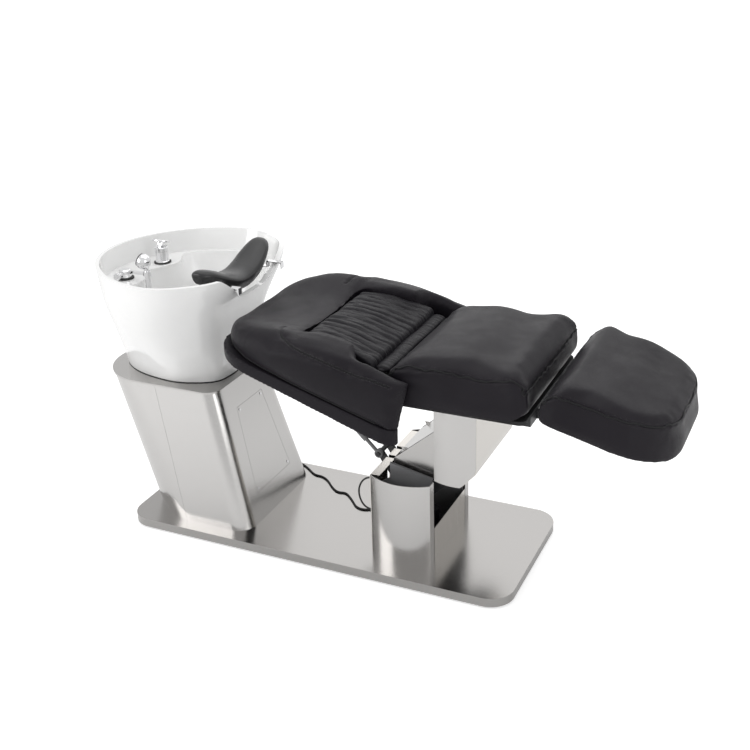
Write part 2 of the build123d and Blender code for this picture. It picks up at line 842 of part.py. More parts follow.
spray_rim = 3
with BuildPart() as spray_face:
    with BuildSketch(head_plane.offset(spray_radius * 0.42)):
        Circle(spray_radius - spray_rim)
        with PolarLocations((spray_radius - spray_rim) * 0.62, 12):
            Circle(1.2, mode=Mode.SUBTRACT)
    extrude(amount=face_thick)
finish(spray_face.part, "spray_face")

# The shower's hose runs straight down from the handle through a guide in the bowl's floor.
hose_low = basin_base + 44
with BuildPart() as shower_hose:
    with BuildSketch(Plane.XY.offset(hose_low)):
        with Locations((handle_x, handle_y)):
            Circle(hose_radius)
    extrude(amount=handle_low - hose_low)
finish(shower_hose.part, "shower_hose")

guide_flange = 17.6
guide_lip = 3
with BuildPart() as hose_guide:
    turned(
        [
            (hose_radius + hose_bore_clear, cavity_top - 6),
            (guide_hole_radius - 0.3, cavity_top - 6), (guide_hole_radius - 0.3, hose_boss_top),
            (guide_flange, hose_boss_top), (guide_flange, hose_boss_top + guide_lip),
            (hose_radius + hose_bore_clear, hose_boss_top + 2 * guide_lip),
        ],
        handle_x,
        handle_y,
    )
finish(hose_guide.part, "hose_guide")

# Supply hoses from the mixer's shank to the control box.
supply_radius = 5
supply_apart = 6.5
supply_bend = 70
with BuildPart() as supply_hoses:
    for side in (-1, 1):
        hose_run(
            [
                (mixer_x + side * supply_apart, mixer_y, shank_low),
                (mixer_x + side * supply_apart, mixer_y, basin_base + 150),
                (drain_x - 20 + side * supply_apart, box_width * 0.52, column_top - 60),
                (box_x + side * 2 * supply_apart, box_width * 0.3, plate_top + box_height + 70),
                (box_x + side * 2 * supply_apart, box_width * 0.3, plate_top + box_height),
            ],
            supply_bend,
            supply_radius,
        )
finish(supply_hoses.part, "supply_hoses")
print("supply hoses solids", len(supply_hoses.solids()))

# Neck rest: a crowned saddle pad across the notch, on two brackets that hook over its slopes.
neck_half = notch_half_top
neck_mid_x = bowl_front - 57
neck_table_shares = [
    # Width share, set-back share, height share, half depth share and half height share.
    (-1, 0.04, 0.80, 0.30, 0.16), (-0.94, 0.02, 0.79, 0.52, 0.20), (-0.72, 0.0, 0.62, 0.84, 0.26),
    (-0.4, 0.0, 0.34, 1.0, 0.27), (0, 0.0, 0.20, 1.02, 0.26), (0.4, 0.0, 0.34, 1.0, 0.27),
    (0.72, 0.0, 0.62, 0.84, 0.26), (0.94, 0.02, 0.79, 0.52, 0.20), (1, 0.04, 0.80, 0.30, 0.16),
]
neck_depth = 52
neck_rise = 104
neck_low = rim_top - notch_depth + 6
section_shares = [
    (1, 0), (0.9, 0.62), (0.55, 0.93), (0, 1), (-0.55, 0.93), (-0.9, 0.62),
    (-1, 0), (-0.9, -0.62), (-0.55, -0.93), (0, -1), (0.55, -0.93), (0.9, -0.62),
]


def neck_section(width_share, back_share, height_share, depth_share, thick_share):
    """One upright slice across the neck pad."""
    slice_x = neck_mid_x - neck_depth * back_share - (1 - depth_share) * neck_depth * 0.2
    slice_z = neck_low + neck_rise * height_share
    with BuildSketch(Plane.XZ.offset(-neck_half * width_share)) as across:
        with BuildLine() as edge:
            Spline(
                *[
                    (slice_x + neck_depth * depth_share * a, slice_z + neck_rise * thick_share * b)
                    for a, b in section_shares
                ],
                periodic=True,
            )
        make_face(edge.edges())
    return across.sketch.faces()[0]


with BuildPart() as neck_rest:
    loft([neck_section(*row) for row in neck_table_shares])
finish(neck_rest.part, "neck_rest")
print("neck rest volume", round(neck_rest.part.volume), neck_rest.part.bounding_box())

# Brackets: a strap over each slope of the notch, with a tab under the pad and a leg down the outside.
bracket_y = neck_half * 0.69
bracket_half = 10
bracket_sheet = 2.5
bracket_leg = 19.2
bracket_tab = 26
bracket_seat = rim_top - notch_depth + (bracket_y + bracket_half - notch_half_low) / notch_slope + pad_clear
bracket_outer = rim_front + basin_length * 0.005
bracket_inner = bowl_front - 6
with BuildPart() as neck_rest_brackets:
    for side in (-1, 1):
        with BuildSketch(Plane.XZ.offset(-side * bracket_y - bracket_half)) as strap:
            with BuildLine():
                Polyline(
                    (bracket_inner - bracket_tab, bracket_seat - bracket_leg),
                    (bracket_inner, bracket_seat - bracket_leg),
                    (bracket_inner, bracket_seat),
                    (bracket_outer, bracket_seat),
                    (bracket_outer, bracket_seat - bracket_leg),
                    (bracket_outer + bracket_sheet, bracket_seat - bracket_leg),
                    (bracket_outer + bracket_sheet, bracket_seat + bracket_sheet),
                    (bracket_inner - bracket_sheet, bracket_seat + bracket_sheet),
                    (bracket_inner - bracket_sheet, bracket_seat - bracket_leg + bracket_sheet),
                    (bracket_inner - bracket_tab, bracket_seat - bracket_leg + bracket_sheet),
                    close=True,
                )
            make_face()
        extrude(amount=2 * bracket_half)
finish(neck_rest_brackets.part, "neck_rest_brackets")


def upright_slab(points, x_side, y_low, y_high):
    """A plate in an upright plane along X, between two distances from the middle, on one side."""
    with BuildSketch(Plane.XZ.offset(-x_side * y_low)) as flat:
        with BuildLine() as edge:
            Polyline(*points, close=True)
        make_face(edge.edges())
    extrude(flat.sketch, amount=-x_side * (y_high - y_low))


def pair_of_slabs(points, y_low, y_high):
    """The same plate on both sides of the middle."""
    for side in (-1, 1):
        upright_slab(points, side, y_low, y_high)


def pair_of_bars(start, end, width, y_low, y_high):
    """Round-ended bars between two pivots, on both sides of the middle."""
    run = math.hypot(end[0] - start[0], end[1] - start[1])
    turn = math.degrees(math.atan2(end[1] - start[1], end[0] - start[0]))
    middle = ((start[0] + end[0]) / 2, (start[1] + end[1]) / 2)
    for side in (-1, 1):
        with BuildSketch(Plane.XZ.offset(-side * y_low)) as flat:
            with Locations(Location((middle[0], middle[1], 0), (0, 0, turn))):
                SlotCenterToCenter(run, width)
        extrude(flat.sketch, amount=-side * (y_high - y_low))


def cross_rod(centre, radius, half, mode=Mode.ADD):
    """A round rod across the middle, or the bore for one."""
    with BuildSketch(Plane.XZ.offset(half)) as disc:
        with Locations(centre):
            Circle(radius)
    extrude(disc.sketch, amount=-2 * half, mode=mode)


def bulged_shell(rear, front, end_half, middle_half, sheet, flange, side):
    """Plan of a bulged side sheet with a flange across the front, in the current sketch."""
    middle = (rear + front) / 2
    with BuildLine() as edge:
        ThreePointArc((rear, side * end_half), (middle, side * middle_half), (front, side * end_half))
        Line((front, side * end_half), (front, side * (end_half - flange)))
        Line((front, side * (end_half - flange)), (front - sheet, side * (end_half - flange)))
        Line((front - sheet, side * (end_half - flange)), (front - sheet, side * (end_half - sheet)))
        ThreePointArc(
            (front - sheet, side * (end_half - sheet)),
            (middle, side * (middle_half - sheet)),
            (rear, side * (end_half - sheet)),
        )
        Line((rear, side * (end_half - sheet)), (rear, side * end_half))
    make_face(edge.edges())


# Lower housing of the lift: two bulged side sheets, a low end panel and a rear panel.
lift_rear = column_foot_front + lift_gap
lift_front = lift_rear + housing_length
housing_top = plate_top + housing_height
shell_rear = lift_rear + housing_sheet + pad_clear
shell_flange = 32
end_panel_gap = 3
end_panel_half = housing_half - shell_flange - end_panel_gap
for side, name in ((-1, "lift_near_shell"), (1, "lift_far_shell")):
    with BuildPart() as lift_shell:
        with BuildSketch(Plane.XY.offset(plate_top)) as plan:
            bulged_shell(
                shell_rear, lift_front, housing_half, housing_half + housing_bulge, housing_sheet,
                shell_flange, side,
            )
        extrude(amount=housing_height)
    finish(lift_shell.part, name)

end_panel_foot = 30
with BuildPart() as lift_end_panel:
    with BuildSketch(Plane.XY.offset(plate_top)):
        with Locations((lift_front - housing_sheet / 2, 0)):
            Rectangle(housing_sheet, 2 * end_panel_half)
    extrude(amount=end_panel_height)
    with BuildSketch(Plane.XY.offset(plate_top)):
        with Locations((lift_front - end_panel_foot / 2, 0)):
            Rectangle(end_panel_foot, 2 * end_panel_half)
    extrude(amount=housing_sheet)
finish(lift_end_panel.part, "lift_end_panel")

# Pivots of the lift, as (X, Z) places.
arm_low = (lift_rear + 45, plate_top + 192)
arm_high = (arm_low[0] + arm_run, arm_low[1] + arm_rise)
link_low = (arm_low[0] + arm_pitch_run, arm_low[1] - arm_pitch_rise)
link_high = (arm_high[0] + arm_pitch_run, arm_high[1] - arm_pitch_rise)
lever_end = (lift_rear - 25, housing_top + 10)
back_hinge = (lift_rear + 62, plate_top + 652)
back_link = (back_hinge[0] + lever_end[0] - arm_high[0], back_hinge[1] + lever_end[1] - arm_high[1])
leg_hinge = (lift_rear + 575, plate_top + 592)
crank_reach = 90
crank_half_turn = lift_travel / 2
crank_end = (
    arm_low[0] + crank_reach * math.cos(math.radians(crank_half_turn)),
    arm_low[1] + crank_reach * math.sin(math.radians(crank_half_turn)),
)
rod_x = arm_low[0] + crank_reach * (1 + math.cos(math.radians(crank_half_turn))) / 2
rod_slide = 2 * crank_reach * math.sin(math.radians(crank_half_turn))
print("pivots", arm_low, arm_high, link_low, link_high, lever_end, back_hinge, back_link, leg_hinge)
print("crank end", crank_end, "rod x", rod_x, "rod slide", rod_slide)

# Distances of the lift's plates from the middle.
cheek_low = 132
cheek_high = 140
arm_plate_low = 100
arm_plate_high = 112
link_plate_low = 80
link_plate_high = 90
lever_low = 29
lever_high = 37
rod_low = 39
rod_high = 51
crank_low = 14
crank_high = 22
hub_radius = 17
link_hub_radius = 14
hub_gap = 0.5
lever_width = 26
slot_gap = 5

rear_flange = 28
rear_half = housing_half - housing_sheet - cut_over
slot_low = arm_low[1] + 12
with BuildPart() as lift_rear_panel:
    with BuildSketch(Plane.YZ.offset(lift_rear)):
        with BuildLine():
            Polyline(
                (-housing_half, plate_top), (housing_half, plate_top),
                (housing_half, housing_top), (-housing_half, housing_top),
                close=True,
            )
        make_face()
    extrude(amount=housing_sheet)
    with BuildSketch(Plane.XY.offset(housing_top)):
        with Locations((lift_rear + (rear_flange + housing_sheet) / 2, 0)):
            Rectangle(rear_flange + housing_sheet, 2 * rear_half)
    extrude(amount=-housing_sheet)
    for side in (-1, 1):
        with BuildSketch(Plane.YZ.offset(lift_rear - cut_over)) as slot:
            with Locations((side * (lever_low + lever_high) / 2, (slot_low + housing_top + cut_over) / 2)):
                Rectangle(lever_high - lever_low + 2 * slot_gap, housing_top + cut_over - slot_low)
        extrude(amount=rear_flange + housing_sheet + 3 * cut_over, mode=Mode.SUBTRACT)
    with BuildSketch(Plane.YZ.offset(lift_rear - cut_over)):
        with Locations(panel_exit, *loop_exits):
            Circle(grommet_hole)
    extrude(amount=housing_sheet + 2 * cut_over, mode=Mode.SUBTRACT)
finish(lift_rear_panel.part, "lift_rear_panel")

# Base bracket: a foot plate and two cheeks that carry both lower pivots.
bracket_foot = 8
cheek_rear = arm_low[0] - 20
cheek_front = lift_front - 7
cheek_step = arm_low[1] + 60
cheek_neck = arm_low[0] + 12
cheek_peak = housing_top + 40
cheek_end = housing_top + 10
with BuildPart() as lift_base_bracket:
    with BuildSketch(Plane.XY.offset(plate_top + housing_sheet + pad_clear)):
        with Locations(((cheek_rear + cheek_front) / 2 - 20, 0)):
            Rectangle(cheek_front - cheek_rear - 40, 2 * cheek_high)
    extrude(amount=bracket_foot)
    pair_of_slabs(
        [
            (cheek_rear, plate_top), (cheek_front - 30, plate_top), (cheek_front, plate_top + 60),
            (cheek_front, cheek_end), (cheek_neck, cheek_peak), (cheek_neck, cheek_step + 20),
            (cheek_rear, cheek_step),
        ],
        cheek_low,
        cheek_high,
    )
    cross_rod(arm_low, arm_pin_radius + pivot_clear, cheek_high + cut_over, Mode.SUBTRACT)
    cross_rod(link_low, link_pin_radius + pivot_clear, cheek_high + cut_over, Mode.SUBTRACT)
finish(lift_base_bracket.part, "lift_base_bracket")

# Pivot pins with a head on each end.
pin_head = 5
pin_head_grow = 5


def pivot_pin(centre, radius):
    """A pin across both cheeks with a head outside each."""
    cross_rod(centre, radius, cheek_high + pin_head)
    for side in (-1, 1):
        with BuildSketch(Plane.XZ.offset(-side * cheek_high)) as head:
            with Locations(centre):
                Circle(radius + pin_head_grow)
        extrude(head.sketch, amount=-side * pin_head)


with BuildPart() as lower_pivot_pins:
    pivot_pin(arm_low, arm_pin_radius)
    pivot_pin(link_low, link_pin_radius)
finish(lower_pivot_pins.part, "lower_pivot_pins")

with BuildPart() as upper_pivot_pins:
    pivot_pin(arm_high, arm_pin_radius)
    pivot_pin(link_high, link_pin_radius)
finish(upper_pivot_pins.part, "upper_pivot_pins")

# Lift arms: two plates, hubs, a cross tube, the crank plates and the lever plates with their pin.
arm_width = 46
cross_radius = 14
crank_pin = 8
crank_width = 28
arm_middle = ((arm_low[0] + arm_high[0]) / 2, (arm_low[1] + arm_high[1]) / 2)
with BuildPart() as lift_arms:
    pair_of_bars(arm_low, arm_high, arm_width, arm_plate_low, arm_plate_high)
    cross_rod(arm_low, hub_radius, cheek_low - hub_gap)
    cross_rod(arm_high, hub_radius, cheek_low - hub_gap)
    cross_rod(arm_middle, cross_radius, arm_plate_high)
    pair_of_bars(arm_low, crank_end, crank_width, crank_low, crank_high)
    pair_of_bars(arm_low, lever_end, lever_width, lever_low, lever_high)
    cross_rod(crank_end, crank_pin, crank_high)
    cross_rod(lever_end, crank_pin, rod_high + pin_head)
    cross_rod(arm_low, arm_pin_radius + pivot_clear, cheek_low + cut_over, Mode.SUBTRACT)
    cross_rod(arm_high, arm_pin_radius + pivot_clear, cheek_low + cut_over, Mode.SUBTRACT)
finish(lift_arms.part, "lift_arms")
print("arms solids", len(lift_arms.solids()))

# Links: two lighter plates with hubs across them.
link_width = 34
with BuildPart() as lift_links:
    pair_of_bars(link_low, link_high, link_width, link_plate_low, link_plate_high)
    cross_rod(link_low, link_hub_radius, link_plate_high)
    cross_rod(link_high, link_hub_radius, link_plate_high)
    cross_rod(link_low, link_pin_radius + pivot_clear, link_plate_high + cut_over, Mode.SUBTRACT)
    cross_rod(link_high, link_pin_radius + pivot_clear, link_plate_high + cut_over, Mode.SUBTRACT)
finish(lift_links.part, "lift_links")

# Lift actuator: a fixed tube with a motor beside it, and a rod whose eye takes the crank pin.
tube_radius = 18
rod_radius = 10
rod_length = 138
tube_floor = plate_top + housing_sheet + pad_clear + bracket_foot
tube_top = plate_top + 112
motor_radius = 21
motor_length = 70
eye_radius = 18
eye_clear = 3
eye_half = crank_low - 2
with BuildPart() as lift_actuator_body:
    turned(
        [
            (0, tube_floor), (tube_radius, tube_floor), (tube_radius, tube_top),
            (rod_radius + pivot_clear, tube_top), (rod_radius + pivot_clear, tube_floor + 4),
            (0, tube_floor + 4),
        ],
        rod_x,
        0,
    )
    with BuildSketch(Plane.XY.offset(tube_floor)):
        with Locations((rod_x, tube_radius + motor_radius - 2)):
            Circle(motor_radius)
        with Locations((rod_x, tube_radius)):
            Rectangle(motor_radius, motor_radius)
    extrude(amount=motor_length)
    turned(
        [(0, tube_floor + 4), (rod_radius + pivot_clear, tube_floor + 4),
         (rod_radius + pivot_clear, tube_top + cut_over), (0, tube_top + cut_over)],
        rod_x,
        0,
        Mode.SUBTRACT,
    )
finish(lift_actuator_body.part, "lift_actuator_body")

with BuildPart() as lift_actuator_rod:
    with BuildSketch(Plane.XY.offset(crank_end[1] - rod_length)):
        with Locations((rod_x, 0)):
            Circle(rod_radius)
    extrude(amount=rod_length)
    cross_rod((rod_x, crank_end[1]), eye_radius, eye_half)
    cross_rod((rod_x, crank_end[1]), crank_pin + eye_clear, eye_half + cut_over, Mode.SUBTRACT)
finish(lift_actuator_rod.part, "lift_actuator_rod")

# Arm cover: a sloping top sheet on two flanges, and two side sheets on standoffs.
cover_low = (lift_rear + 62, housing_top + 47)
cover_high = (lift_rear + 213, housing_top + 175)
cover_front = (lift_rear + 225, housing_top + 5)
cover_rear = (lift_rear + 70, housing_top - 25)
cover_half = 121
cover_sheet = 2.5
cover_slit = 10
cover_angle = math.atan2(cover_high[1] - cover_low[1], cover_high[0] - cover_low[0])
cover_drop = (math.sin(cover_angle) * cover_sheet, -math.cos(cover_angle) * cover_sheet)
cover_flange = (math.sin(cover_angle) * 22, -math.cos(cover_angle) * 22)
cover_top_half = cover_half - cover_sheet - cover_slit
flange_low = arm_plate_low - pad_clear - cover_sheet
flange_high = arm_plate_low - pad_clear
cover_run_share = 0.82
tab_half = 16
with BuildPart() as arm_cover:
    with BuildSketch(Plane.XZ.offset(cover_top_half)):
        with BuildLine():
            Polyline(
                cover_low,
                cover_high,
                (cover_high[0] + cover_drop[0], cover_high[1] + cover_drop[1]),
                (cover_low[0] + cover_drop[0], cover_low[1] + cover_drop[1]),
                close=True,
            )
        make_face()
    extrude(amount=-2 * cover_top_half)
    pair_of_slabs(
        [
            cover_low,
            cover_high,
            (cover_high[0] + cover_flange[0], cover_high[1] + cover_flange[1]),
            (cover_low[0] + cover_flange[0], cover_low[1] + cover_flange[1]),
        ],
        flange_low,
        flange_high,
    )
    # Tabs from the flanges down to the arm plates.
    pair_of_slabs(
        [
            (arm_middle[0] - 66 - tab_half, cover_low[1] + 34), (arm_middle[0] - 66 + tab_half, cover_low[1] + 34),
            (arm_middle[0] - 36 + tab_half, arm_middle[1] - 14), (arm_middle[0] - 36 - tab_half, arm_middle[1] - 14),
        ],
        flange_low,
        flange_high,
    )
finish(arm_cover.part, "arm_cover")
print("cover solids", len(arm_cover.solids()))

standoff_radius = 8
with BuildPart() as arm_cover_sides:
    pair_of_slabs([cover_low, cover_high, cover_front, cover_rear], cover_half - cover_sheet, cover_half)
    for share in (0.3, 0.62):
        spot = (
            arm_low[0] + (arm_high[0] - arm_low[0]) * share,
            arm_low[1] + (arm_high[1] - arm_low[1]) * share,
        )
        for side in (-1, 1):
            with BuildSketch(Plane.XZ.offset(-side * arm_plate_high)) as standoff:
                with Locations(spot):
                    Circle(standoff_radius)
            extrude(standoff.sketch, amount=-side * (cover_half - cover_sheet - arm_plate_high))
finish(arm_cover_sides.part, "arm_cover_sides")
print("cover side solids", len(arm_cover_sides.solids()))

# Recline links: two round rods with an eye at each end, from the levers to the backrest.
recline_radius = 10
recline_eye = 14
link_slack = 0.5
recline_plane_dir = (back_link[0] - lever_end[0], 0, back_link[1] - lever_end[1])
recline_run = math.hypot(recline_plane_dir[0], recline_plane_dir[2])
with BuildPart() as recline_links:
    for side in (-1, 1):
        with BuildSketch(
            Plane(
                origin=(lever_end[0], side * (rod_low + rod_high) / 2, lever_end[1]), z_dir=recline_plane_dir
            )
        ) as rod_face:
            Circle((rod_high - rod_low) / 2)
        extrude(rod_face.sketch, amount=recline_run)
        for end in (lever_end, back_link):
            with BuildSketch(Plane.XZ.offset(-side * rod_low)) as eye:
                with Locations(end):
                    Circle(recline_eye)
            extrude(eye.sketch, amount=-side * (rod_high - rod_low))
        with BuildSketch(
            Plane(
                origin=(
                    lever_end[0] + recline_plane_dir[0] * 0.2,
                    side * (rod_low + rod_high) / 2,
                    lever_end[1] + recline_plane_dir[2] * 0.2,
                ),
                z_dir=recline_plane_dir,
            )
        ) as sleeve_face:
            Circle(recline_radius)
        extrude(sleeve_face.sketch, amount=recline_run * 0.6)
    cross_rod(lever_end, crank_pin + pivot_clear, rod_high + cut_over, Mode.SUBTRACT)
    cross_rod(back_link, crank_pin + link_slack, rod_high + cut_over, Mode.SUBTRACT)
finish(recline_links.part, "recline_links")
print("recline solids", len(recline_links.solids()))

# Carriage of the lift: a steel frame in a bulged housing under the seat.
upper_rear = arm_high[0] - 58
upper_front = upper_rear + upper_length
upper_top = arm_high[1] + 136
upper_low = upper_top - upper_height
upper_half = housing_half
upper_middle_half = housing_half + housing_bulge / 2
upper_cut_rise = 49
upper_cut_run = 50
upper_cut_radius = 38
upper_seat_gap = 0.3
fold_top = (upper_front - housing_sheet / 2, upper_top - housing_sheet / 2)
fold_start = (fold_top[0], upper_low + upper_cut_rise + upper_cut_radius / 2)
fold_bend = (fold_top[0] - 4, upper_low + upper_cut_rise - 2)
fold_end = (upper_front - upper_cut_run, upper_low - housing_sheet)
fold_inside = housing_sheet / 2 + pad_clear


def inside_of(start, end, at):
    """A place set in from a stretch of the front panel's fold by the sheet and its clearance."""
    run = math.hypot(end[0] - start[0], end[1] - start[1])
    return (
        at[0] + (end[1] - start[1]) / run * fold_inside,
        at[1] - (end[0] - start[0]) / run * fold_inside,
    )


for side, name in ((-1, "upper_near_shell"), (1, "upper_far_shell")):
    with BuildPart() as upper_shell:
        with BuildSketch(Plane.XY.offset(upper_low)) as plan:
            bulged_shell(
                upper_rear, upper_front - housing_sheet - pad_clear, upper_half, upper_middle_half,
                housing_sheet, shell_flange / 2, side,
            )
        extrude(amount=upper_height)
        with BuildSketch(Plane.XZ.offset(upper_middle_half + cut_over)) as corner:
            with BuildLine():
                Polyline(
                    inside_of(fold_bend, fold_end, fold_end),
                    inside_of(fold_bend, fold_end, fold_bend),
                    inside_of(fold_start, fold_bend, fold_start),
                    (upper_front + cut_over, fold_start[1]),
                    (upper_front + cut_over, fold_end[1] - cut_over),
                    (fold_end[0] - fold_inside, fold_end[1] - cut_over),
                    close=True,
                )
            make_face()
        extrude(amount=-2 * (upper_middle_half + cut_over), mode=Mode.SUBTRACT)
    finish(upper_shell.part, name)

with BuildPart() as upper_front_panel:
    with BuildSketch(Plane.XZ.offset(upper_half)):
        with BuildLine():
            Polyline(fold_top, fold_start, fold_bend, fold_end)
            offset(amount=housing_sheet / 2, side=Side.BOTH)
        make_face()
    extrude(amount=-2 * upper_half)
finish(upper_front_panel.part, "upper_front_panel")

carriage_plate = 8
carriage_rear = upper_rear + 16
carriage_front = upper_front - 16
with BuildPart() as carriage_frame:
    pair_of_slabs(
        [
            (carriage_rear, upper_top), (carriage_front, upper_top), (carriage_front, arm_high[1] - 30),
            (link_high[0] + 20, link_high[1] - 14), (link_high[0] - 10, link_high[1] - 24),
            (arm_high[0] - 28, arm_high[1] - 10), (arm_high[0] - 32, arm_high[1] + 30),
        ],
        cheek_low,
        cheek_high,
    )
    with BuildSketch(Plane.XY.offset(upper_top)):
        with Locations(((carriage_rear + carriage_front) / 2, 0)):
            Rectangle(carriage_front - carriage_rear, 2 * cheek_high)
    extrude(amount=-carriage_plate)
    cross_rod(arm_high, arm_pin_radius + pivot_clear, cheek_high + cut_over, Mode.SUBTRACT)
    cross_rod(link_high, link_pin_radius + pivot_clear, cheek_high + cut_over, Mode.SUBTRACT)
finish(carriage_frame.part, "carriage_frame")
print("carriage solids", len(carriage_frame.solids()))

# Seat frame: a ring of rectangular tube with tabs for the backrest and leg rest hinges.
seat_rear = lift_rear + 103
seat_frame_top = upper_top + 30
seat_base = seat_frame_top + 12
seat_front = seat_rear + seat_length + 2
frame_half = 200
seat_tube = 40
hinge_radius = 14
hinge_pin = 8
back_tab_low = 162
back_tab_high = 172
back_plate_low = 149
back_plate_high = 160
leg_tab_low = 132
leg_tab_high = 142
leg_plate_low = 119
leg_plate_high = 130
frame_rear = seat_rear + 2
frame_front = seat_front - 22
with BuildPart() as seat_frame:
    with BuildSketch(Plane.XY.offset(upper_top)):
        with Locations(((frame_rear + frame_front) / 2, 0)):
            Rectangle(frame_front - frame_rear, 2 * frame_half)
            Rectangle(
                frame_front - frame_rear - 2 * seat_tube, 2 * (frame_half - seat_tube), mode=Mode.SUBTRACT
            )
            Rectangle(seat_tube, 2 * frame_half)
    extrude(amount=seat_frame_top - upper_top)
    pair_of_slabs(
        [
            (frame_rear + 5, upper_top), (frame_rear + 5, seat_frame_top), (seat_rear - 4, seat_frame_top + 4),
            (back_hinge[0] + hinge_radius, back_hinge[1] + 2), (back_hinge[0] - hinge_radius, back_hinge[1]),
            (back_hinge[0] + 8, back_hinge[1] - 56),
        ],
        back_tab_low,
        back_tab_high,
    )
    pair_of_slabs(
        [
            (frame_front - 5, upper_top), (leg_hinge[0], leg_hinge[1] - hinge_radius),
            (leg_hinge[0], leg_hinge[1] + hinge_radius), (frame_front + 3, seat_frame_top),
            (frame_front - 5, seat_frame_top),
        ],
        leg_tab_low,
        leg_tab_high,
    )
    for hinge, tab_low, tab_high in (
        (back_hinge, back_tab_low, back_tab_high),
        (leg_hinge, leg_tab_low, leg_tab_high),
    ):
        for side in (-1, 1):
            with BuildSketch(Plane.XZ.offset(-side * tab_low)) as knuckle:
                with Locations(hinge):
                    Circle(hinge_radius)
            extrude(knuckle.sketch, amount=-side * (tab_high - tab_low))
        cross_rod(hinge, hinge_pin + pivot_clear, tab_high + cut_over, Mode.SUBTRACT)
finish(seat_frame.part, "seat_frame")
print("seat frame solids", len(seat_frame.solids()))

board_inset = 22
with BuildPart() as seat_board:
    with BuildSketch(Plane.XY.offset(seat_frame_top)):
        with Locations(((seat_rear + seat_front) / 2 + 2, 0)):
            RectangleRounded(seat_length - 2 * board_inset, 2 * (seat_half - board_inset), board_inset)
    extrude(amount=seat_base - seat_frame_top)
finish(seat_board.part, "seat_board")

# Hinge pins of the backrest and the leg rest.
with BuildPart() as hinge_pins:
    for hinge, plate_low, tab_high in (
        (back_hinge, back_plate_low, back_tab_high),
        (leg_hinge, leg_plate_low, leg_tab_high),
    ):
        for side in (-1, 1):
            with BuildSketch(Plane.XZ.offset(-side * plate_low)) as pin:
                with Locations(hinge):
                    Circle(hinge_pin)
            extrude(pin.sketch, amount=-side * (tab_high - plate_low))
            with BuildSketch(Plane.XZ.offset(-side * tab_high)) as head:
                with Locations(hinge):
                    Circle(hinge_pin + 3)
            extrude(head.sketch, amount=-side * 3)
finish(hinge_pins.part, "hinge_pins")


def pad_section(x, half, low, seam, crown, draw):
    """An upright slice across a padded piece: a flat underside, bulged sides and a crowned top."""
    tall = seam - low
    with BuildSketch(Plane.YZ.offset(x)) as across:
        with BuildLine() as edge:
            Line((-half + draw, low), (half - draw, low))
            Spline(
                (half - draw, low),
                (half - draw * 0.15, low + tall * 0.3),
                (half, low + tall * 0.65),
                (half - draw * 0.25, seam),
                (half - draw * 1.6, seam + (crown - seam) * 0.42),
                (half * 0.6, seam + (crown - seam) * 0.85),
                (0, crown),
                (-half * 0.6, seam + (crown - seam) * 0.85),
                (-half + draw * 1.6, seam + (crown - seam) * 0.42),
                (-half + draw * 0.25, seam),
                (-half, low + tall * 0.65),
                (-half + draw * 0.15, low + tall * 0.3),
                (-half + draw, low),
            )
        make_face(edge.edges())
    return across.sketch.faces()[0]


# Seat cushion stations: length share, half-width share, then underside, side and crown height shares.
seat_station_shares = [
    (0.0, 0.9225, 0.3307, 0.7638, 0.8189),
    (0.0198, 0.9718, 0.0945, 0.9449, 1.0394),
    (0.0925, 0.9965, 0.0079, 1.063, 1.1969),
    (0.3018, 1.0, 0.0024, 1.0472, 1.2205),
    (0.5661, 1.0, 0.0024, 0.9449, 1.1339),
    (0.7863, 1.0, 0.0024, 1.0, 1.1339),
    (0.9075, 0.9965, 0.0551, 1.0551, 1.1417),
    (0.967, 0.9859, 0.189, 0.9449, 1.0079),
    (1.0, 0.9225, 0.4488, 0.7087, 0.7559),
]
pad_draw = 14
with BuildPart() as seat_cushion:
    loft([
        pad_section(
            seat_rear + seat_length * u, seat_half * v, seat_base + seat_thickness * low,
            seat_base + seat_thickness * seam, seat_base + seat_thickness * crown, pad_draw,
        )
        for u, v, low, seam, crown in seat_station_shares
    ])
    with BuildSketch(Plane.XY.offset(seat_frame_top - cut_over)):
        with Locations(((seat_rear + seat_front) / 2 + 2, 0)):
            RectangleRounded(
                seat_length - 2 * board_inset + 2 * pad_clear,
                2 * (seat_half - board_inset + pad_clear),
                board_inset,
            )
    extrude(amount=seat_base + pad_clear - seat_frame_top + cut_over, mode=Mode.SUBTRACT)
finish(seat_cushion.part, "seat_cushion")
print("seat cushion", len(seat_cushion.solids()), round(seat_cushion.part.volume))

# Leg rest cushion stations, in the same order, with a board let into the underside.
leg_rear = leg_hinge[0] - 11
leg_low = leg_hinge[1] - 68
leg_reach = leg_length - 19
leg_half = seat_half + 4
leg_tall = seat_thickness + 85
leg_station_shares = [
    (0.0, 0.9097, 0.5566, 0.6887, 0.7075), (0.0125, 0.9583, 0.4906, 0.783, 0.8208),
    (0.0399, 0.9861, 0.4528, 0.8632, 0.9151), (0.0948, 1.0, 0.4198, 0.934, 1.0),
    (0.2893, 1.0, 0.3208, 0.8538, 0.934), (0.4888, 1.0, 0.217, 0.7689, 0.8443),
    (0.6633, 0.9965, 0.1274, 0.6887, 0.7547), (0.788, 0.9618, 0.066, 0.6368, 0.6887),
    (0.8878, 0.8681, 0.0189, 0.5943, 0.6321), (0.9501, 0.7361, 0.0047, 0.5708, 0.5943),
    (0.9825, 0.5903, 0.0472, 0.5472, 0.5613), (1.0, 0.3819, 0.1321, 0.5, 0.5094),
]
leg_slope = math.radians(15.1)
leg_board_thick = 12
leg_board_start = 46
leg_board_length = 270
leg_board_half = leg_half - 42
leg_board_corner = 40
leg_under = Plane(
    origin=(leg_hinge[0], 0, leg_hinge[1] + 28),
    x_dir=(math.cos(leg_slope), 0, -math.sin(leg_slope)),
    z_dir=(math.sin(leg_slope), 0, math.cos(leg_slope)),
)


